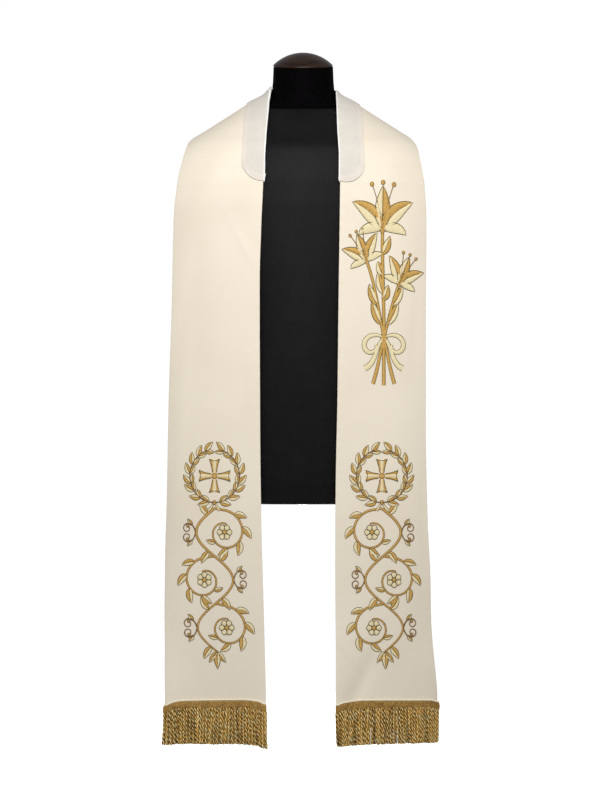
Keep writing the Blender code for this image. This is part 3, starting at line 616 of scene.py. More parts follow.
class Embroidery:
    """Stitched shapes laid on a stole half. x runs outwards and y up, from a named point on the cloth."""

    COLUMNS = 6

    def __init__(self, cloth, height, outwards):
        self.cloth, self.solid = cloth, Solid()
        self.height, self.outwards = height, outwards
        self.station = station_at(cloth.side, height)

    def lay(self, flat, lift):
        """Flat points, in millimetres, as points over the cloth, upright where the cloth's own rows slope."""
        out, height = flat[..., 0] / 1000 + self.outwards, flat[..., 1] / 1000 + self.height
        station = np.full(out.shape, self.station)
        for _ in range(UPRIGHT_ROUNDS):
            across = 0.5 + out / self.cloth.width_at(station)
            station = station + (self.cloth.at(station, across)[..., 2] - height) / FRONT_LENGTH
        return self.cloth.at(station, across, lift / 1000)

    def pad(self, one, other, finish, puff=PUFF):
        """Satin stitch between two curves, its threads running from one to the other."""
        share = np.linspace(0, 1, self.COLUMNS)
        flat = one[:, None] * (1 - share)[:, None] + other[:, None] * share[:, None]
        width = np.linalg.norm(other - one, axis=1)
        high = np.minimum(puff, PUFF_SHARE * width)
        ends = np.minimum(np.arange(len(one)), np.arange(len(one))[::-1])
        high = high * np.clip(0.35 + 0.65 * ends, 0, 1)
        lift = high[:, None] * np.sin(math.pi * share) ** 0.6 - SUNK
        self.solid.loft(self.lay(flat, lift), finish, length_places=run((one + other) / 2) / 1000)

    def line(self, curve, radius=LINE, finish=OLIVE, looped=False, lift=0.2, sides=5):
        """A cord sewn down along a curve."""
        if looped:
            tangent = unit(np.roll(curve, -1, axis=0) - np.roll(curve, 1, axis=0))
            out = np.stack([-tangent[:, 1], tangent[:, 0]], axis=1)
        else:
            out = sideways(curve)
        radius = np.broadcast_to(radius, len(curve))[:, None]
        angle = np.arange(sides) * 2 * math.pi / sides
        flat = curve[:, None] + out[:, None] * (radius * np.cos(angle))[..., None]
        self.solid.loft(self.lay(flat, lift + radius * np.sin(angle)), finish, looped=looped)

    def stroke(self, curve, half_width, finish=GOLD, edge=BROWN, puff=PUFF):
        """A raised line that follows a curve, with a thread along each side."""
        out = sideways(curve) * np.broadcast_to(half_width, len(curve))[:, None]
        self.pad(curve - out, curve + out, finish, puff)
        if edge is not None:
            for side in (-1, 1):
                self.line(curve + side * out, LINE * 0.7, edge)

    def rim(self, spine, out, radius, edge):
        """A thread all round a shape that spreads evenly to both sides of its spine."""
        self.line(np.concatenate([spine + out, (spine - out)[-2:0:-1]]), radius, edge, looped=True)

    def leaf(self, start, heading, length, width, curl=0.0, light=CREAM, dark=GOLD, edge=OLIVE, vein=BROWN):
        """A leaf in two tones with a midrib."""
        spine = bend(start, heading, length, curl, curl, step=length / 13)
        share = np.linspace(0, 1, len(spine))
        half = width / 2 * np.sin(math.pi * share**0.8) ** 0.85
        out = sideways(spine) * half[:, None]
        self.pad(spine, spine + out, light)
        self.pad(spine - out, spine, dark)
        self.rim(spine, out, LINE * (0.75 if length < SMALL_LEAF else 1.0), edge)
        self.line(spine[:-2], LINE * 0.6, vein, lift=0.35)

    def petal(self, start, heading, length, width, curl=0.0, finish=CREAM, edge=OLIVE, blunt=1.25):
        """A petal, widest towards its end."""
        spine = bend(start, heading, length, curl, curl, step=length / 11)
        share = np.linspace(0, 1, len(spine))
        half = width / 2 * np.sin(math.pi * share**blunt) ** 0.7
        out = sideways(spine) * half[:, None]
        self.pad(spine - out, spine + out, finish)
        self.rim(spine, out, LINE, edge)

    def bead(self, centre, radius, finish=GOLD, edge=OLIVE):
        """A round boss with a thread round it."""
        share = np.linspace(0.06, 0.94, 9)
        place = -radius * np.cos(math.pi * share)
        half = np.sqrt(radius**2 - place**2)
        x, y = centre
        one = np.stack([x - half, y + place], axis=1)
        other = np.stack([x + half, y + place], axis=1)
        self.pad(one, other, finish, PUFF * 1.3)
        self.line(circle(centre, radius), LINE, edge, looped=True)

    def tendril(self, start, heading, length, first, last, finish=BROWN, berry=2.6):
        """A thin curling line with a berry at its end."""
        curve = bend(start, heading, length, first, last)
        self.line(curve, np.linspace(1.4, 0.9, len(curve)), finish)
        self.bead(curve[-1], berry, GOLD, finish)
        return curve

    def blossom(self, centre, radius, petals, finish=CREAM, turn=0.0):
        """An open flower with a boss in its middle."""
        for index in range(petals):
            heading = turn + 360 * index / petals
            start = np.array(centre) + towards(heading) * radius * 0.24
            self.petal(start, heading, radius * 0.76, radius * 4.6 / petals, finish=finish)
        self.bead(centre, radius * 0.27, GOLD, BROWN)

    def finish(self, name, threads):
        return self.solid.finish(name, threads, sharp_angle=60)


# ---------------------------------------------------------------- the ornaments

WREATH_CENTRE, WREATH_RADIUS, WREATH_LEAVES = (0.0, 136.0), 49.0, 8
CROSS_ARM, CROSS_WAIST, CROSS_END, CROSS_INLAY = 31.0, 4.0, 10.5, 0.42
VINE_TOP, VINE_BAY, VINE_SWAY, VINE_BAYS = 76.0, 88.0, 35.0, 3
SPIRAL_OFFSET, SPIRAL_END, SPIRAL_TURN = 20.0, 15.5, 400.0
STEM_POINTS, BRANCH_POINTS = 130, 90
BranchLeaf = namedtuple("BranchLeaf", "place turn length")  # place counts the branch's points
BRANCH_LEAVES = [
    BranchLeaf(12, 40, 26), BranchLeaf(22, 46, 28), BranchLeaf(32, 48, 28), BranchLeaf(43, 50, 25),
    BranchLeaf(55, 50, 19),
]


def cross_in_a_wreath(work):
    """A plain cross with four flaring arms inside two leafy boughs."""
    x0, y0 = WREATH_CENTRE
    for side in (-1, 1):
        angles = np.radians(np.linspace(-90, 76, 40))
        x, y = x0 + side * WREATH_RADIUS * np.cos(angles), y0 + WREATH_RADIUS * np.sin(angles)
        bough = np.stack([x, y], axis=1)
        work.line(bough, 1.3, BROWN)
        for index in range(WREATH_LEAVES):
            place = 3 + round(index * 36 / (WREATH_LEAVES - 0.5))
            ahead = heading_at(bough, place)
            for turn, size in ((-34, 1.0), (36, 0.82)):
                tilt = ahead + turn * side
                colours = (CREAM, GOLD) if (index + (turn > 0)) % 2 else (GOLD, CREAM)
                curl = -side * np.sign(turn) * 0.9
                work.leaf(bough[place], tilt, 23 * size, 10.5 * size, curl, *colours)
        work.bead(bough[-1], 2.6, GOLD, BROWN)
    for quarter in range(4):
        heading = 90 * quarter
        arm = bend((x0, y0), heading, CROSS_ARM, 0, 0, step=3)
        share = np.linspace(0, 1, len(arm))
        half = CROSS_WAIST + (CROSS_END - CROSS_WAIST) * share**2.2
        out = sideways(arm) * half[:, None]
        middle = out * CROSS_INLAY
        work.pad(arm - out, arm - middle, GOLD)
        work.pad(arm - middle, arm + middle, CREAM)
        work.pad(arm + middle, arm + out, GOLD)
        hollow = bend(arm[-1] - out[-1], heading + 125, 2 * CROSS_END * 1.11, -3.2, -3.2, step=3)
        border = np.concatenate([(arm - out)[2:], hollow[1:-1], (arm + out)[:1:-1]])
        work.line(border, LINE * 1.2, OLIVE)
    work.bead((x0, y0), 5.0, GOLD, BROWN)


def knot(work, centre, size):
    """A small tied band with two short ends."""
    x, y = centre
    for side in (-1, 1):
        tail = bend((x, y), -90 + side * 38, size * 2.6, -side * 1.6, side * 2.4)
        work.stroke(tail, np.linspace(1.0, 2.6, len(tail)), CREAM, OLIVE)
    work.bead((x, y), size * 0.55, GOLD, BROWN)


def flowering_vine(work):
    """A wavy stem with a spiral branch in each of its bays, round a blossom."""
    fall = np.linspace(0, 1, STEM_POINTS)
    y = VINE_TOP - fall * VINE_BAY * VINE_BAYS
    stem = np.stack([VINE_SWAY * np.sin((VINE_TOP - y) / VINE_BAY * math.pi), y], axis=1)
    work.stroke(stem, np.linspace(2.2, 1.4, len(stem)), GOLD, BROWN)
    for bay in range(VINE_BAYS):
        side = -1 if bay % 2 == 0 else 1
        centre = np.array([side * SPIRAL_OFFSET, VINE_TOP - VINE_BAY * (bay + 0.5)])
        share = np.linspace(0, 1, BRANCH_POINTS)
        first = math.degrees(math.atan2(VINE_BAY / 2, -side * SPIRAL_OFFSET))
        angle = np.radians(first - side * SPIRAL_TURN * share)
        start = math.hypot(SPIRAL_OFFSET, VINE_BAY / 2)
        radius = smooth_curve([0, 0.06, 0.3, 1], [start, 41, 34, SPIRAL_END])(share)
        branch = centre + radius[:, None] * np.stack([np.cos(angle), np.sin(angle)], axis=1)
        work.stroke(branch, np.linspace(1.9, 1.2, len(branch)), GOLD, BROWN)
        for place, turn, length in BRANCH_LEAVES:
            ahead = heading_at(branch, place)
            work.leaf(branch[place], ahead + side * turn, length, length * 0.46, -side * 1.5, GOLD, CREAM)
        work.blossom(centre, 14.5, 6, CREAM, turn=30 * bay)
        place = round((STEM_POINTS - 1) * (bay + 0.5) / VINE_BAYS)
        outwards = -side
        for up in (-1, 1):
            root, ahead = stem[place - 17 * up], 90 * up - 52 * up * outwards
            work.leaf(root, ahead, 27, 12, outwards * up * 1.3, GOLD, CREAM)
            tip = stem[place] + (outwards * 1.5, 1.0 * up)
            ahead, curl = 90 * up - 12 * up * outwards, -up * outwards
            volute = work.tendril(tip, ahead, 62, curl * 1.2, curl * 12.5)
            work.leaf(volute[7], 90 * up - 40 * up * outwards, 15, 7.5, 0.0, GOLD, CREAM)
    for turn, length in ((-128, 26), (-90, 32), (-52, 26)):
        work.leaf(stem[-1], turn, length, length * 0.36, 0.0, GOLD, CREAM)


def lily(work, base, heading, size):
    """A lily seen from the side: three petals, two sepals and three stamens."""
    base = np.array(base, float)
    for turn in (-11, 0, 11):
        stamen = bend(base, heading + turn, 58 * size, 0, turn * 0.03)
        work.line(stamen, 0.9, BROWN)
        work.bead(stamen[-1], 2.8 * size, GOLD, BROWN)
    for side in (-1, 1):
        work.petal(base, heading + side * 66, 36 * size, 13 * size, side * 1.3, CREAM, OLIVE, 0.9)
        work.leaf(base, heading + side * 29, 56 * size, 21 * size, side * 0.55, *((CREAM, GOLD)[::side]))
    work.leaf(base, heading, 54 * size, 22 * size, 0.0, CREAM, GOLD, OLIVE, BROWN)
    work.petal(base - 6 * size * towards(heading), heading, 18 * size, 14 * size, 0.0, GOLD, BROWN, 1.4)


LILY_TIE = (0.0, -96.0)
LilyLeaf = namedtuple("LilyLeaf", "place side turn length")
LILY_LEAVES = [
    LilyLeaf(34, -1, 26, 30), LilyLeaf(40, 1, 26, 44), LilyLeaf(57, 1, 30, 28), LilyLeaf(76, -1, 34, 38),
]


def tied_lilies(work):
    """Three lilies with their leaves, tied with a bow."""
    for side in (-1, 0, 1):
        foot = bend(LILY_TIE, -90 + side * 14, 88, -side * 0.1, side * 0.2)
        work.stroke(foot, np.linspace(2.6, 3.4, len(foot)), GOLD, OLIVE)
    middle = bend(LILY_TIE, 90, 200, 0.04, -0.04)
    work.stroke(middle, 3.0, GOLD, OLIVE)
    lily(work, middle[-1], 90, 1.5)
    for side, length, lean in ((-1, 146, 13), (1, 104, 16)):
        stem = bend(LILY_TIE, 90 - side * lean, length, side * 0.08, -side * 0.22)
        work.stroke(stem, 2.6, GOLD, OLIVE)
        for place, turn, size, curl in ((12, 24, 50, 0.5), (30, 28, 44, 0.7)):
            work.leaf(stem[place], heading_at(stem, place) - side * turn, size, 16, side * curl, GOLD, CREAM)
        lily(work, stem[-1], heading_at(stem, -1), 1.02)
    for place, side, turn, length in LILY_LEAVES:
        work.leaf(middle[place], 90 + side * turn, length, 16, -side * 0.55, CREAM, GOLD)
    for side in (-1, 1):
        loop = bend(LILY_TIE, 90 - side * 62, 92, -side * 1.0, -side * 6.0)
        work.stroke(loop, 4.6 * np.sin(np.linspace(0.35, math.pi * 0.86, len(loop))), CREAM, OLIVE)
        tail = bend(LILY_TIE, -90 + side * 50, 70, -side * 2.0, side * 2.6)
        work.stroke(tail, np.linspace(2.8, 5.4, len(tail)), CREAM, OLIVE)
    work.bead(LILY_TIE, 6.6, GOLD, BROWN)


# ---------------------------------------------------------------- pieces


CORNER_TRIM, CORNER_REACH = 0.0085, 0.024  # its outer corner on the shoulder is rounded off by this


def stole(cloth, hem, materials):
    """A stole half: a thin wall with rolled edges, from the centre back to the hem."""
    stations = np.concatenate([cloth.stations[cloth.stations < hem - 0.001], [hem]])
    station = stations[:, None]
    half = CLOTH / 2
    inset = half / cloth.width_at(station)
    from_corner = (cloth.length_at(station) - cloth.length_at(0.0)) / CORNER_REACH
    trim = CORNER_TRIM * np.exp(-(from_corner**2)) / cloth.width_at(station)
    across = inset + (1 - 2 * inset - trim) * cloth.across[None, cloth.inside]
    middle = cloth.at(station, across, -half)
    outer = cloth.at(station, across)
    normal = (outer - middle) / half
    bends = np.radians(np.linspace(90, -90, 7)[1:-1])
    arcs = []
    for edge, inward in ((-1, -2), (0, 1)):
        tangent = unit(middle[:, edge] - middle[:, inward])
        out = [math.cos(b) * tangent + math.sin(b) * normal[:, edge] for b in bends]
        arcs.append(np.stack([middle[:, edge] + half * step for step in out], axis=1))
    inner = (middle - half * normal)[:, ::-1]
    rings = np.concatenate([outer, arcs[0], inner, arcs[1][:, ::-1]], axis=1)
    around = np.linalg.norm(np.diff(rings[150], axis=0, append=rings[150][:1]), axis=1)
    solid = Solid()
    solid.loft(rings, 0, np.concatenate([[0], np.cumsum(around)]), cloth.length_at(stations))
    return solid.finish(f"stole_{cloth.side}_cloth", materials, sharp_angle=70)


PROTECTOR_HEM, HEM_RISE = 0.0105, 0.0004  # width of its turned border and how much that stands up
PROTECTOR_TRIM = {"left": 0.0035, "right": 0.0}  # how much narrower it is than its solid
PROTECTOR_FLARE, FLARE_LENGTH = 0.0013, 0.045  # how far its rounded end stands off the cloth
PROTECTOR_LIE = 0.0004  # between it and the stole
PROTECTOR_COLUMNS, HEM_COLUMNS = 34, 9
EDGE_ROLL = 0.0010  # radius that its edges are rounded with
FOLD_RADIUS, FOLD_PAST = 0.0016, 0.0030  # of the rolled inner edge, and its length past the tip
FOLD_AT_NECK = {"left": 0.0024, "right": 0.0013}  # its radius over the shoulder
FOLD_THINS = (0.03, 0.12)  # where it comes to its own radius, below the shoulder
# Its radius behind the shoulder, where it lies on the stole, and the stretch over which it grows from that.
FOLD_BEHIND, FOLD_GROWS = 0.0009, (-0.004, 0.016)
# How much closer to the neck it lies before the shoulder's ridge, and how much further out behind it.
NECK_REACH, REACH_STARTS, REACH_ENDS = {"left": 0.0034, "right": 0.0010}, (0.002, 0.024), (0.024, 0.056)
DIP_BEHIND, DIP_STARTS, DIP_ENDS = 0.0045, (-0.10, -0.05), (-0.012, 0.008)
POINT_ROWS = 26  # in its rounded end
STITCH_PITCH, STITCH_RADIUS, STITCH_INSET = 0.0032, 0.00028, 0.0014


def roll(distance):
    """How far an edge has rolled down, from 1 at the edge to 0 a roll's radius from it."""
    share = np.clip(distance / EDGE_ROLL, 0, 1)
    return 1 - np.sqrt(1 - (1 - share) ** 2)


def on_stretch(place, starts, ends):
    """1 on the stretch between a start and an end, fading to 0 over both."""
    return smooth_step(place, *starts) * (1 - smooth_step(place, *ends))


class Strip:
    """One side of the collar protector, drawn flat: metres along the stole and beside its neckline."""

    def __init__(self, cloth):
        self.cloth, self.wide = cloth, PROTECTOR_WIDTH - PROTECTOR_TRIM[cloth.side]
        tip = station_at(cloth.side, PROTECTOR_TIP, 0.0)
        turn = np.linspace(0, math.pi / 2, POINT_ROWS)
        fine = tip - (1 - np.cos(turn)) * PROTECTOR_ROUNDING / FRONT_LENGTH * 1.02
        table = cloth.stations[cloth.stations < fine[-1] - 0.002]
        self.lengths = cloth.length_at(np.concatenate([table, fine[::-1]]))
        self.tip = self.lengths[-1]
        power = PROTECTOR_POINT[cloth.side]
        rounded = np.clip(1 - (self.tip - self.lengths) / PROTECTOR_ROUNDING, 0, 1)
        share = np.clip(1 - rounded**power, PROTECTOR_BLUNT, 1) ** (1 / power)
        self.far = np.stack([self.lengths, share * self.wide - PROTECTOR_OVERHANG], axis=1)
        self.shoulder = cloth.length_at(0.0)
        below = self.lengths - self.shoulder
        reach = NECK_REACH[cloth.side] * on_stretch(below, REACH_STARTS, REACH_ENDS)
        reach -= DIP_BEHIND * on_stretch(below, DIP_STARTS, DIP_ENDS)
        self.near = np.stack([self.lengths, -PROTECTOR_OVERHANG - reach], axis=1)
        along_it = unit(np.gradient(self.far, axis=0))
        self.inwards = np.stack([along_it[:, 1], -along_it[:, 0]], axis=1)

    def lay(self, flat, lift):
        """Flat points as points over the stole, the rounded end standing off it."""
        station = np.interp(flat[..., 0], self.cloth.lengths, self.cloth.stations)
        end = 1 - smooth_step(self.tip - flat[..., 0], 0, FLARE_LENGTH)
        out = np.clip((flat[..., 1] + PROTECTOR_OVERHANG) / self.wide, 0, 1)
        off = PROTECTOR_LIE + PROTECTOR_FLARE * end * out**1.5
        return self.cloth.at(station, flat[..., 1] / self.cloth.width_at(station), off + lift)

    def body(self):
        share = (1 - np.cos(np.linspace(0, math.pi, PROTECTOR_COLUMNS))) / 2
        flat = self.near[:, None] + (self.far - self.near)[:, None] * share[:, None]
        wide = np.linalg.norm(self.far - self.near, axis=1)[:, None]
        rolled = roll(share * wide) + roll((1 - share) * wide)
        outer = self.lay(flat, COTTON * (1 - 0.55 * rolled))
        inner = self.lay(flat, COTTON * 0.3 * rolled)
        return np.concatenate([outer, inner[:, ::-1]], axis=1)

    def border(self):
        share = np.linspace(0.03, 1, HEM_COLUMNS)
        flat = self.far[:, None] + self.inwards[:, None] * (share * PROTECTOR_HEM)[:, None]
        rolled = roll(share * PROTECTOR_HEM) + roll((1 - share) * PROTECTOR_HEM)
        outer = self.lay(flat, COTTON + HEM_RISE * (1 - rolled))
        inner = self.lay(flat, np.full(outer.shape[:2], COTTON * 0.6))
        return np.concatenate([outer, inner[:, ::-1]], axis=1)

    def fold(self):
        """The fold at the neckline, painted much whiter than the rest of the cotton, partly for its doubled
        cloth and partly as a painted highlight along the roll, and which ends in a small point.
        """
        flat = np.concatenate([self.near, [self.near[-1] + (FOLD_PAST, 0)]])
        below = flat[:, 0] - self.shoulder
        at_neck = FOLD_AT_NECK[self.cloth.side]
        full = at_neck + (FOLD_RADIUS - at_neck) * smooth_step(below, *FOLD_THINS)
        full = FOLD_BEHIND + (full - FOLD_BEHIND) * smooth_step(below, *FOLD_GROWS)
        radius = full * np.sqrt(np.clip((self.tip + FOLD_PAST - flat[:, 0]) / 0.004, 0.05, 1))
        flat[:, 1] += FOLD_RADIUS
        return tube_rings(self.lay(flat, COTTON * 0.6), radius, 9, up=(1, 0, 0))

    def stitches(self):
        """Small stitches along the border's inner edge."""
        keep = (self.tip - self.lengths) > PROTECTOR_HEM
        flat = (self.far + self.inwards * (PROTECTOR_HEM - STITCH_INSET))[keep]
        line = self.lay(flat, COTTON + HEM_RISE)
        length = run(line)
        for index in range(int(length[-1] / STITCH_PITCH)):
            path = along((index + np.array([0.1, 0.3, 0.5, 0.7])) * STITCH_PITCH, length, line)
            yield tube_rings(path, STITCH_RADIUS * np.array([0.5, 1, 1, 0.5]), 5)


def protector(cloths, materials):
    """The collar protector: a folded cotton strip with a turned, stitched border."""
    strips = [Strip(cloth) for cloth in cloths]
    solid = Solid()
    for shape, finish in (("body", 0), ("border", 3), ("fold", 2)):
        left, right = (getattr(strip, shape)() for strip in strips)
        left[0, :, 0] = 0
        solid.loft(np.concatenate([left[::-1], right[1:]]), finish, np.linspace(0, 0.11, left.shape[1] + 1))
    for strip in strips:
        for stitch in strip.stitches():
            solid.loft(stitch, 1)
    return solid.finish("collar_protector_cotton", materials, sharp_angle=70)


BRAID_ROWS, BRAID_COLUMNS, CORD_POINTS, EVEN_POINTS = 15, 300, 240, 200
HEADING = 0.0138  # height of the braid that shows above the strands
BRAID_BOW, BOW_SHARE = 0.0036, 0.08  # how much it lies higher between its ends, and their share of the width
CHEVRON, CHEVRON_RISE = 0.0058, 0.0005
CORD_RADIUS, CORD_ABOVE = 0.0017, 0.0014  # the pale cord sewn on above the braid
# The rows of strands from the back: how many, radius, how deep the groove between their two plies is,
# lift, place of the first, sides, how much they gather in clumps, and finish. The middle one is the core,
# whose finish is a darker copy of the gold as painted shade.
StrandRow = namedtuple("StrandRow", "count radius groove lift first sides gather finish")
STRAND_ROWS = [
    StrandRow(40, 0.0021, 0.45, 0.0008, 0.50, 8, 0.6, 0),
    StrandRow(60, 0.0021, 0.15, 0.0018, 0.30, 6, 0.0, 1),
    StrandRow(37, 0.0022, 0.55, 0.0034, 0.50, 12, 1.0, 0),
]
STRAND_PITCH, STRAND_STEP = 0.0170, 0.0010
STRAND_TUCK = 0.0012  # how far a strand starts above the braid's foot
CLUMP, CLUMP_SIZES, CLUMP_SPREAD = 0.30, (3, 8), (0.5, 1.2)  # how far strands of one clump lean together
FOOT_SPREAD, TIP_LENGTH = 0.0016, 0.0014  # how uneven the strands' feet are, and the length that rounds one
LEAN_SPREAD, FORWARD_SPREAD = 0.0003, 0.0006
RADIUS_SPREAD, TWIST_SPREAD = (0.94, 1.05), (0.75, 1.3)
Wave = namedtuple("Wave", "swing turns start")
SIDEWAYS_WAVES = [Wave(0.0022, 9, 0.0), Wave(0.0008, 31, 0.0)]
FORWARD_WAVES = [Wave(0.0020, 13, 1.0), Wave(0.0010, 41, 0.0)]
SWAY_START = {"left": 0.0, "right": 1.7}


def strand_sway(side, place, waves):
    """How far a strand's foot leans, so that neighbours lean alike."""
    return sum(wave.swing * math.sin(wave.turns * place + wave.start + SWAY_START[side]) for wave in waves)


def bowed(station, across):
    """A row of stitches across the hem, bowed upwards between its ends."""
    to_end = np.minimum(across, 1 - across)
    return station - BRAID_BOW * smooth_step(to_end, 0, BOW_SHARE) / FRONT_LENGTH


def braid(cloth, materials):
    """The woven heading: a rounded strip with chevrons raised on it, under a pale sewing cord."""
    across = np.linspace(-BRAID_RETURN, 1 + BRAID_RETURN, BRAID_COLUMNS)[:, None]
    share = np.linspace(0, 1, BRAID_ROWS)
    heights = BRAID_TOP, BRAID_TOP - HEADING, BRAID_TOP + CORD_ABOVE
    top, foot, cord_station = (station_at(cloth.side, height) for height in heights)
    top, foot = bowed(top, across), bowed(foot, across)
    station = top + (foot - top) * share
    width = float(cloth.width_at(foot[0, 0]))
    bulge = np.sqrt(np.clip(1 - (2 * share - 1) ** 4, 0, 1))
    place = across * width / CHEVRON + np.abs(share - 0.5) * 1.3
    chevron = np.abs(np.sin(math.pi * place)) ** 0.7
    rows = np.abs(np.cos(share * 4 * math.pi))
    lift = BRAID * (0.45 + 0.55 * bulge) + CHEVRON_RISE * (chevron - 0.5) * bulge * (0.6 + 0.4 * rows)
    outer = cloth.at(station, across, BRAID_GAP + lift)
    inner = cloth.at(station[:, ::-1], across, BRAID_GAP)
    solid = Solid()
    solid.loft(np.concatenate([outer, inner], axis=1), 0, np.linspace(0, 2 * HEADING, 2 * BRAID_ROWS + 1))
    across = np.linspace(0, 1, CORD_POINTS)
    cord = cloth.at(bowed(cord_station, across), across, CORD_RADIUS)
    solid.loft(tube_rings(cord, CORD_RADIUS, 9), 1)
    return solid.finish(f"braid_{cloth.side}", materials)


def clump_leans(count, chance):
    """How far each strand's foot moves towards the middle of its clump, in strand pitches."""
    leans = np.zeros(count)
    start = 0
    while start < count:
        end = min(count, start + chance.integers(*CLUMP_SIZES))
        places = np.arange(start, end)
        leans[start:end] = (places.mean() - places) * CLUMP * chance.uniform(*CLUMP_SPREAD)
        start = end
    return leans


def even_places(cloth, station):
    """Places across the hem, and for each its share of the length along it."""
    across = np.linspace(-BRAID_RETURN, 1 + BRAID_RETURN, EVEN_POINTS)
    line = cloth.at(bowed(station, across), across)
    length = run(line)
    return across, length / length[-1]


def strands(cloth, materials, chance):
    """Twisted bullion strands in staggered rows, hanging from the braid's foot in loose clumps."""
    side = cloth.side
    station = station_at(side, BRAID_TOP - HEADING + STRAND_TUCK)
    width = float(cloth.width_at(station))
    places, shares = even_places(cloth, station)
    solid = Solid()
    for row in STRAND_ROWS:
        leans = clump_leans(row.count, chance) * width / row.count * row.gather
        for index in range(row.count):
            where = (index + row.first) / row.count
            across = np.interp(where, shares, places)
            root = cloth.at(bowed(station, across), across, row.lift)
            within = np.clip(across, 0, 1)
            drop = float(HEM_DROP[side]["strands"](within) - HEM_DROP[side]["cloth"](within))
            foot_height = STRAND_END - drop + chance.uniform(0, FOOT_SPREAD)
            lean = strand_sway(side, where, SIDEWAYS_WAVES) + leans[index] + chance.normal(0, LEAN_SPREAD)
            forward = strand_sway(side, where, FORWARD_WAVES) + chance.normal(0, FORWARD_SPREAD)
            length = root[2] - foot_height
            share = np.linspace(0, 1, round(length / STRAND_STEP))
            path = np.empty((len(share), 3))
            path[:, 0] = root[0] + lean * share**1.3 + 0.00025 * np.sin(share * 7 + index)
            path[:, 1] = root[1] - forward * share**1.2 - 0.0010 * np.sin(share * math.pi)
            path[:, 2] = root[2] - length * share
            to_end = (1 - share) * length
            rounded = np.sqrt(np.clip(to_end / TIP_LENGTH, 0.08, 1))
            radius = row.radius * rounded * chance.uniform(*RADIUS_SPREAD)
            twist = 2 * math.pi / STRAND_PITCH * chance.uniform(*TWIST_SPREAD)
            start = chance.uniform(0, math.pi)
            solid.loft(tube_rings(path, radius, row.sides, row.groove, twist, start), row.finish)
    return solid.finish(f"strands_{side}", materials, sharp_angle=180)


FORM_SIDES, FORM_ROWS_FINE, NECK_ROWS = 120, 96, 20
SEAM_ROUNDS = 20  # in which a ring comes to the seam's plane
RIM_SHARE, RIM_DROP = 0.985, 0.0006  # the rim at the seam is rounded by these


def cut_ring(height, level):
    """A ring of the form moved on to the neck seam's tilted plane, level above or below it."""
    angles = np.arange(FORM_SIDES) * 2 * math.pi / FORM_SIDES
    heights = np.full(FORM_SIDES, height)
    for _ in range(SEAM_ROUNDS):
        ring = form_ring(heights, angles)
        heights = heights + NECK_SEAM + level + math.tan(SEAM_TILT) * ring[:, 1] - ring[:, 2]
    return heights


def form_piece(name, above_seam, materials):
    """The form above or below the neck seam, with rounded rims."""
    angles = np.arange(FORM_SIDES) * 2 * math.pi / FORM_SIDES
    seam = cut_ring(NECK_SEAM, SEAM_GAP / 2 if above_seam else -SEAM_GAP / 2)
    start, end, rows = (seam, NECK_TOP, NECK_ROWS) if above_seam else (FORM_FOOT, seam, FORM_ROWS_FINE)
    shares = np.linspace(0, 1, rows)[:, None]
    heights = start * (1 - shares) + end * shares
    rings = form_ring(heights, np.broadcast_to(angles, heights.shape))
    rim = rings[0 if above_seam else -1].copy()
    centre = rim.mean(axis=0)
    rim = [centre + (rim - centre) * RIM_SHARE]
    if above_seam:
        rings = np.concatenate([rim, rings])
        rings[1] += (0, 0, RIM_DROP)
    else:
        turned = []
        for turn in np.linspace(0, math.pi / 2, 6)[:-1]:
            shrink = 1 - (1 - np.array([*FORM_FOOT_SHARE, 1.0])) * (1 - math.sin(turn))
            turned.append(rings[0] * shrink + (0, 0, FORM_FOOT_ROUNDING * (1 - math.cos(turn))))
        rings[0] += (0, 0, FORM_FOOT_ROUNDING)
        rings = np.concatenate([turned, rings, rim])
        rings[-2] -= (0, 0, RIM_DROP)
    solid = Solid()
    around = np.linspace(0, 1.0, FORM_SIDES + 1)
    solid.loft(rings, 0, around, rings[:, 0, 2].tolist())
    return solid.finish(name, materials)


CAP_SIDES, CAP_ROWS, CAP_DOME_INSET = 96, 26, 0.0006
CAP_LIP = [(0.0002, 0.0026), (0, 0.0020), (0, 0.0010), (0.0004, 0.0003), (0.0010, 0.0)]  # inwards, height


def cap(materials):
    """The turned wooden cap: a dome over a rounded edge."""
    rise = CAP_RISE - CAP_EDGE
    ball = (CAP_RADIUS**2 + rise**2) / (2 * rise)
    widest = math.asin((CAP_RADIUS - CAP_DOME_INSET) / ball)
    profile = [(0.0004, CAP_RISE)]
    for angle in np.linspace(0.04, 1, CAP_ROWS) * widest:
        profile.append((ball * math.sin(angle), CAP_RISE - ball * (1 - math.cos(angle))))
    profile += [(CAP_RADIUS - inwards, height) for inwards, height in CAP_LIP]
    angles = np.arange(CAP_SIDES) * 2 * math.pi / CAP_SIDES
    rings = np.array([[(r * math.cos(a), r * math.sin(a), h) for a in angles] for r, h in profile])
    upright = rings.copy()
    rings[..., 1] = upright[..., 1] * math.cos(NECK_TILT) - upright[..., 2] * math.sin(NECK_TILT)
    rings[..., 2] = upright[..., 1] * math.sin(NECK_TILT) + upright[..., 2] * math.cos(NECK_TILT)
    rings += (CAP_LEAN, 0, NECK_TOP + SEAM_GAP)
    solid = Solid()
    solid.loft(rings, 0)
    return solid.finish("neck_cap_wood", materials)


# ---------------------------------------------------------------- finishes


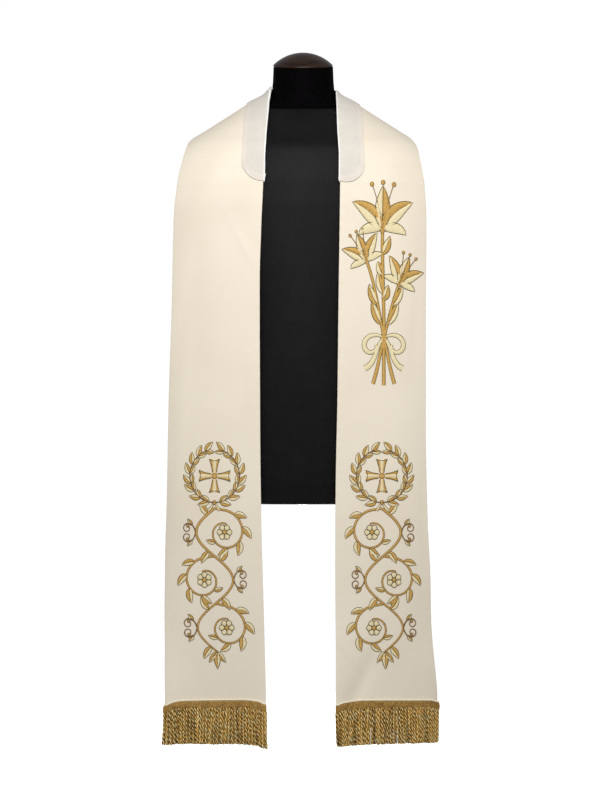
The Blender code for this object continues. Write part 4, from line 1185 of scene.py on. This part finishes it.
class Look:
    """A material with one Principled shader, and short ways to add nodes to it."""

    def __init__(self, name, colour, roughness, **sockets):
        self.material = bpy.data.materials.new(name)
        self.material.use_nodes = True
        self.tree = self.material.node_tree
        self.shader = self.tree.nodes["Principled BSDF"]
        self.shader.inputs["Base Color"].default_value = (*colour, 1)
        self.shader.inputs["Roughness"].default_value = roughness
        for socket, value in sockets.items():
            self.shader.inputs[socket.replace("_", " ").title().replace("Ior", "IOR")].default_value = value
        self.flat = self.add("TexCoord").outputs["UV"]
        self.place = self.add("TexCoord").outputs["Object"]

    def add(self, kind, inputs=None, **settings):
        node = self.tree.nodes.new("ShaderNode" + kind)
        for name, value in settings.items():
            setattr(node, name, value)
        for socket, value in (inputs or {}).items():
            self.feed(node.inputs[socket], value)
        return node

    def feed(self, socket, value):
        if isinstance(value, bpy.types.NodeSocket):
            self.tree.links.new(value, socket)
        else:
            socket.default_value = value

    def stretch(self, coordinates, scale):
        return self.add("Mapping", {"Vector": coordinates, "Scale": scale}).outputs["Vector"]

    def noise(self, coordinates, scale, detail=2.0, roughness=0.5):
        inputs = {"Vector": coordinates, "Scale": scale, "Detail": detail, "Roughness": roughness}
        return self.add("TexNoise", inputs).outputs["Fac"]

    def bands(self, coordinates, pitch, direction="X", distortion=0.0):
        """Even threads across one direction of the flat coordinates, so many metres apart."""
        scale = math.pi / (5 if direction == "DIAGONAL" else 10) / pitch
        inputs = {"Vector": coordinates, "Scale": scale, "Distortion": distortion}
        return self.add("TexWave", inputs, bands_direction=direction).outputs["Fac"]

    def sums(self, operation, one, other):
        return self.add("Math", {0: one, 1: other}, operation=operation).outputs[0]

    def spread(self, value, low, high, to_low=0.0, to_high=1.0):
        inputs = {"Value": value, "From Min": low, "From Max": high, "To Min": to_low, "To Max": to_high}
        return self.add("MapRange", inputs).outputs[0]

    def weigh(self, one, one_share, other, other_share):
        """Two values added in these shares."""
        one, other = self.sums("MULTIPLY", one, one_share), self.sums("MULTIPLY", other, other_share)
        return self.sums("ADD", one, other)

    def paint(self, colour):
        self.feed(self.shader.inputs["Base Color"], colour)

    def colours(self, share, one, other):
        """The base colour, going from one to the other."""
        self.paint(self.mix(share, one, other))

    def mix(self, share, one, other):
        node = self.add("Mix", data_type="RGBA")
        for index, value in ((0, share), (6, one), (7, other)):
            self.feed(node.inputs[index], (*value, 1) if isinstance(value, tuple) else value)
        return node.outputs[2]

    def roughness(self, share, low, high):
        self.feed(self.shader.inputs["Roughness"], self.spread(share, 0, 1, low, high))

    def bump(self, height, distance, strength=1.0):
        inputs = {"Height": height, "Distance": distance, "Strength": strength}
        node = self.add("Bump", inputs)
        if self.shader.inputs["Normal"].is_linked:
            self.feed(node.inputs["Normal"], self.shader.inputs["Normal"].links[0].from_socket)
        self.feed(self.shader.inputs["Normal"], node.outputs[0])


def satin():
    """Cream satin: long floats over a fine weave, with slow changes of tone."""
    look = Look("satin_cream", (0.84, 0.75, 0.61), 0.5, sheen_weight=0.12, sheen_roughness=0.45)
    slow = look.noise(look.place, 7.0, 3.0)
    slub = look.noise(look.stretch(look.flat, (160, 900, 1)), 1.0, 3.0)
    share = look.weigh(slow, 0.6, slub, 0.4)
    look.colours(look.spread(share, 0.35, 0.65), (0.815, 0.722, 0.580), (0.865, 0.778, 0.640))
    look.roughness(slub, 0.44, 0.58)
    look.bump(look.bands(look.flat, 0.0011, "Y", 0.6), 0.00006, 0.5)
    look.bump(look.bands(look.flat, 0.0008, "X", 0.4), 0.00005, 0.4)
    look.bump(slub, 0.00012, 0.5)
    look.bump(look.noise(look.place, 26.0, 2.0), 0.0008, 0.25)
    return look.material


def cotton(name, dark, light):
    """White cotton: a plain weave that shows as a fine grid."""
    look = Look(name, light, 0.85, sheen_weight=0.05, sheen_roughness=0.6)
    weave = look.sums("MULTIPLY", *(look.bands(look.flat, 0.0010, direction, 0.3) for direction in "XY"))
    tone = look.noise(look.place, 60.0, 3.0)
    look.colours(look.spread(tone, 0.35, 0.65), dark, light)
    look.bump(weave, 0.00012, 0.6)
    look.bump(look.noise(look.place, 120.0, 3.0), 0.0003, 0.3)
    return look.material


def thread(name, dark, light, metallic, roughness, pitch=0.00075):
    """Stitched thread: fine ridges that cross an element's length, each a little off in tone at random, and
    painted darker between them as shade.
    """
    look = Look(name, light, roughness, metallic=metallic)
    ridges = look.bands(look.flat, pitch, "Y", 0.8)
    tone = look.noise(look.stretch(look.flat, (2, 520, 1)), 1.0, 2.0)
    # painted shade: the colour darkens in the dips between the ridges, with a random tone on top
    share = look.weigh(ridges, 0.45, tone, 0.75)
    look.colours(look.spread(share, 0.30, 0.85), dark, light)
    look.bump(ridges, 0.00022, 0.8)
    return look.material


def painted_sparkle(look, size, low, high):
    """Painted glints: small cells over the metal thread, a few of them painted as bright highlights: 0 to 1.
    """
    across, down = 1 / size[0], 1 / size[1]
    cells = look.add("TexVoronoi", {"Vector": look.stretch(look.place, (across, across, down)), "Scale": 1.0})
    random = look.add("SeparateColor", {"Color": cells.outputs["Color"]}).outputs[0]
    return look.spread(random, low, high)


def bullion(name, shade):
    """Twisted cord of gold thread with windings, painted darker in the groove between its plies as shade, and
    with painted glints on a few small cells.
    """
    look = Look(name, (0.62, 0.36, 0.08), 0.3, metallic=0.6)
    groove = look.bands(look.flat, 0.5, "X")
    windings = look.bands(look.stretch(look.flat, (0.004, 1, 1)), 0.0010, "DIAGONAL", 0.5)
    strand_tone = look.noise(look.stretch(look.place, (230, 230, 9)), 1.0, 1.0)
    streaks = look.noise(look.stretch(look.place, (330, 330, 60)), 1.0, 2.0)
    strand_tone = look.spread(strand_tone, 0.3, 0.7, -0.30, 0.30)
    tone = look.sums("ADD", strand_tone, look.spread(streaks, 0.3, 0.7, -0.2, 0.2))
    # painted shade: the colour darkens in the groove between the plies, on top of each strand's random tone
    lit = look.sums("ADD", look.spread(groove, 0.15, 0.85, 0.95, 0.0), tone)
    dark, light, painted_glint = (0.085, 0.038, 0.007), (1.0, 0.60, 0.145), (1.0, 0.86, 0.44)
    dark, light, painted_glint = (tuple(part * shade for part in colour) for colour in (dark, light, painted_glint))
    body = look.mix(look.spread(lit, 0.0, 0.9), dark, light)
    # painted glints: a few cells take a bright highlight colour where the painted shade is lightest
    painted_sparkle_cells = painted_sparkle(look, (0.0016, 0.0030), 0.60, 0.72)
    painted_sparkle_share = look.sums("MULTIPLY", painted_sparkle_cells, look.spread(lit, 0.25, 0.60))
    look.paint(look.mix(painted_sparkle_share, body, painted_glint))
    look.roughness(streaks, 0.22, 0.42)
    look.bump(windings, 0.00025, 0.7)
    return look.material


def braided():
    """The heading's flat woven gold thread, closer and duller than the strands, painted darker in the gaps
    between its threads as shade, and with painted glints.
    """
    look = Look("braid_gold", (0.36, 0.20, 0.05), 0.5, metallic=0.35)
    threads_one = look.bands(look.flat, 0.0012, "DIAGONAL", 0.4)
    threads_two = look.bands(look.stretch(look.flat, (-1, 1, 1)), 0.0012, "DIAGONAL", 0.4)
    weave = look.sums("MAXIMUM", threads_one, threads_two)
    tone = look.noise(look.place, 140.0, 3.0, 0.6)
    # painted shade: the colour darkens in the gaps between the woven threads, with a random tone on top
    share = look.sums("ADD", look.spread(weave, 0.4, 1.0, 0.0, 0.6), look.spread(tone, 0.3, 0.7, -0.2, 0.35))
    body = look.mix(look.spread(share, 0.0, 0.9), (0.185, 0.087, 0.016), (0.54, 0.303, 0.064))
    # painted glints: a few small cells take a bright highlight colour
    painted_sparkle_share = painted_sparkle(look, (0.0010, 0.0010), 0.80, 0.98)
    look.paint(look.mix(painted_sparkle_share, body, (0.68, 0.46, 0.15)))
    look.roughness(tone, 0.4, 0.62)
    look.bump(weave, 0.0003, 0.7)
    return look.material


def jersey():
    """Black jersey, with the fine upright ribs of its knit."""
    look = Look("jersey_black", (0.0030, 0.0027, 0.0032), 0.5, specular_ior_level=0.13)
    ribs = look.bands(look.flat, 1 / 420, "X", 0.5)
    tone = look.noise(look.place, 45.0, 4.0, 0.6)
    look.colours(look.spread(tone, 0.35, 0.65), (0.0020, 0.0017, 0.0022), (0.0038, 0.0034, 0.0040))
    look.bump(ribs, 0.0003, 0.5)
    look.bump(look.bands(look.flat, 0.0016, "Y", 0.5), 0.0002, 0.4)
    look.bump(look.noise(look.place, 300.0, 2.0), 0.0003, 0.3)
    return look.material


def neck_cloth():
    """The neck's covering: a closer, darker cloth than the torso's."""
    look = Look("neck_black", (0.0025, 0.0020, 0.0025), 0.6, specular_ior_level=0.01)
    tone = look.noise(look.place, 160.0, 3.0)
    look.colours(look.spread(tone, 0.35, 0.65), (0.0012, 0.0009, 0.0012), (0.0022, 0.0018, 0.0022))
    look.bump(look.bands(look.flat, 0.0014, "Y", 0.4), 0.00015, 0.4)
    look.bump(look.noise(look.place, 400.0, 2.0), 0.0002, 0.3)
    return look.material


def wood():
    """Dark stained wood under varnish, its grain in long streaks."""
    varnish = {"coat_weight": 0.06, "coat_roughness": 0.2, "specular_ior_level": 0.16}
    look = Look("wood_dark", (0.030, 0.019, 0.014), 0.42, **varnish)
    grain = look.noise(look.stretch(look.place, (14, 160, 14)), 1.0, 5.0, 0.65)
    rings = look.add("TexWave", {"Vector": look.place, "Scale": 16.0, "Distortion": 5.0}, wave_type="RINGS")
    share = look.weigh(grain, 0.7, rings.outputs["Fac"], 0.3)
    look.colours(look.spread(share, 0.3, 0.75), (0.009, 0.0040, 0.0026), (0.032, 0.0140, 0.0080))
    look.roughness(grain, 0.24, 0.42)
    look.bump(grain, 0.0002, 0.3)
    return look.material


def enamel():
    """White powder coat with its slight orange peel."""
    look = Look("enamel_white", (0.83, 0.83, 0.82), 0.35)
    tone = look.noise(look.place, 30.0, 2.0)
    look.colours(look.spread(tone, 0.3, 0.7), (0.82, 0.82, 0.81), (0.85, 0.85, 0.845))
    look.roughness(tone, 0.30, 0.42)
    look.bump(look.noise(look.place, 700.0, 2.0), 0.0001, 0.25)
    return look.material


# ---------------------------------------------------------------- the object

looks = {
    "satin": satin(),
    "cotton": cotton("cotton_white", (0.666, 0.625, 0.558), (0.698, 0.654, 0.585)),
    "border": cotton("cotton_border", (0.733, 0.663, 0.586), (0.764, 0.692, 0.613)),
    # painted highlight in part: much whiter than the other cotton, for doubled cloth and for a highlight
    # along the roll
    "fold": cotton("cotton_fold_painted_highlight", (0.90, 0.88, 0.85), (0.96, 0.95, 0.92)),
    "braid": braided(),
    "strand": bullion("bullion_gold", 1.0),
    # painted shade: a copy of the gold with every colour scaled to 0.65, for the middle row of strands
    "core": bullion("bullion_painted_shade", 0.65),
    "cord": thread("cord_cream", (1.0, 0.90, 0.67), (1.0, 0.96, 0.78), 0.0, 0.5),
    "stitch": thread("stitch_white", (0.62, 0.58, 0.52), (0.82, 0.79, 0.74), 0.0, 0.6),
    "cream": thread("thread_cream", (0.80, 0.65, 0.34), (0.97, 0.86, 0.56), 0.0, 0.45),
    "gold": thread("thread_gold", (0.48, 0.255, 0.045), (0.80, 0.50, 0.13), 0.15, 0.42),
    "brown": thread("thread_brown", (0.15, 0.085, 0.03), (0.30, 0.17, 0.06), 0.1, 0.5),
    "olive": thread("thread_olive", (0.085, 0.070, 0.025), (0.19, 0.155, 0.065), 0.1, 0.5),
    "jersey": jersey(),
    "neck": neck_cloth(),
    "wood": wood(),
    "enamel": enamel(),
}
threads = [looks[name] for name in ("cream", "gold", "brown", "olive")]

cloths = {side: Cloth(side) for side in SIDE_SIGN}
STRAND_SEED = {"left": 7, "right": 8}
LOWER_HEIGHT, LOWER_OUTWARDS = 0.602, {"left": -0.0026, "right": 0.0000}
UPPER_HEIGHT, UPPER_OUTWARDS = 1.089, 0.0030


def place(piece, slot, *nodes):
    """Rides a piece on the one body and hides the nodes that it stands for; its slot is not used."""
    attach(piece, "root")
    if nodes:
        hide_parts(*nodes)
    return piece


on_stole = {side: [] for side in SIDE_SIGN}
stoles = {}
for side, cloth in cloths.items():
    hem = station_at(side, CLOTH_HEM)
    stoles[side] = place(stole(cloth, hem, [looks["satin"]]), "satin", f"stole_{side}")
    chance = np.random.default_rng(STRAND_SEED[side])
    heading = braid(cloth, [looks["braid"], looks["cord"]])
    for made in (heading, strands(cloth, [looks["strand"], looks["core"]], chance)):
        on_stole[side].append(place(made, "gold_fringe", f"fringe_{side}"))
    lower = Embroidery(cloth, LOWER_HEIGHT, LOWER_OUTWARDS[side])
    cross_in_a_wreath(lower)
    knot(lower, (0, WREATH_CENTRE[1] - WREATH_RADIUS), 7)
    flowering_vine(lower)
    on_stole[side].append(place(lower.finish(f"embroidery_{side}_end", threads), "gold_fringe"))

upper = Embroidery(cloths["right"], UPPER_HEIGHT, UPPER_OUTWARDS)
tied_lilies(upper)
on_stole["right"].append(place(upper.finish("embroidery_right_breast", threads), "gold_fringe"))

cotton_looks = [looks[name] for name in ("cotton", "stitch", "fold", "border")]
collar = place(protector(cloths.values(), cotton_looks), "cotton", "collar_protector")
place(form_piece("dress_form_torso_jersey", False, [looks["jersey"]]), "black_jersey", "dress_form_torso")
place(form_piece("dress_form_neck_cloth", True, [looks["neck"]]), "black_jersey", "dress_form_neck")
place(cap([looks["wood"]]), "dark_wood", "neck_cap")
for name in ("stand_pole", "stand_foot"):
    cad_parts[name].data.materials.clear()
    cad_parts[name].data.materials.append(looks["enamel"])

for side, piece in stoles.items():
    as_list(on_stole[side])

# ---------------------------------------------------------------- the studio

EYE = Vector((-0.0044, -4.1, 0.878))
PICTURE_HEIGHT, PICTURE_DEPTH = 1.48, -0.11  # metres of the picture's height at the cloth's front
SENSOR, FAR = 36.0, 60
STAGE_RADIUS, SKY = 9, 0.42
Light = namedtuple("Light", "name location aim size watts")
LIGHTS = [
    Light("key", (0.0, -1.8, 2.05), (0, 0, 1.25), (1.5, 0.7), 31),
    Light("back", (0.0, 2.4, 1.0), (0, 0, 1.0), (1.6, 1.4), 26),
]
STAND_LIGHTS = [
    Light(f"stand_light_{side + 2}", (side * 2.2, -2.2, 0.5), (0, 0, 0.4), (0.6, 0.9), 130)
    for side in (-1, 1)
]


def area_light(row):
    light = bpy.data.lights.new(row.name, "AREA")
    light.shape = "RECTANGLE"
    light.size, light.size_y = row.size
    light.energy = row.watts
    made = bpy.data.objects.new(row.name, light)
    made.location = row.location
    made.rotation_euler = (Vector(row.aim) - Vector(row.location)).to_track_quat("-Z", "Y").to_euler()
    bpy.context.scene.collection.objects.link(made)
    return made


def stage_piece(made, colour, glow, sees_light):
    """A glowing piece of the studio that the camera sees and that throws no light on the object."""
    white = {"emission_color": (1, 1, 1, 1), "emission_strength": glow}
    look = Look(made.name, colour, 0.9, specular_ior_level=0.0, **white)
    made.data.materials.append(look.material)
    made.visible_diffuse = made.visible_glossy = made.visible_transmission = False
    made.visible_shadow = sees_light


def studio():
    under = (0, 0, -0.0005)
    bpy.ops.mesh.primitive_circle_add(vertices=96, radius=STAGE_RADIUS, fill_type="NGON", location=under)
    floor = bpy.context.object
    floor.name = "studio_floor"
    stage_piece(floor, (0.80, 0.80, 0.80), 0.70, True)
    bpy.ops.mesh.primitive_uv_sphere_add(segments=64, ring_count=32, radius=STAGE_RADIUS)
    backdrop = bpy.context.object
    backdrop.name = "studio_backdrop"
    stage_piece(backdrop, (0, 0, 0), 1.02, False)
    world = bpy.data.worlds.new("studio")
    bpy.context.scene.world = world
    world.use_nodes = True
    background = world.node_tree.nodes["Background"]
    background.inputs["Color"].default_value = (1, 1, 1, 1)
    background.inputs["Strength"].default_value = SKY
    for row in LIGHTS:
        area_light(row)
    lit = bpy.data.collections.new("lit_by_stand_lights")
    lit.objects.link(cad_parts["stand_pole"])
    for row in STAND_LIGHTS:
        light = area_light(row)
        light.light_linking.receiver_collection = lit
        light.light_linking.blocker_collection = lit


def camera():
    data = bpy.data.cameras.new("camera")
    data.sensor_fit = "VERTICAL"
    data.sensor_height = SENSOR
    data.lens = SENSOR * (PICTURE_DEPTH - EYE.y) / PICTURE_HEIGHT
    data.clip_end = FAR
    made = bpy.data.objects.new("camera", data)
    made.location = EYE
    made.rotation_euler = (math.pi / 2, 0, 0)
    bpy.context.scene.collection.objects.link(made)
    bpy.context.scene.camera = made


studio()
camera()
bpy.context.scene.view_settings.view_transform = "Standard"
bpy.context.view_layer.update()
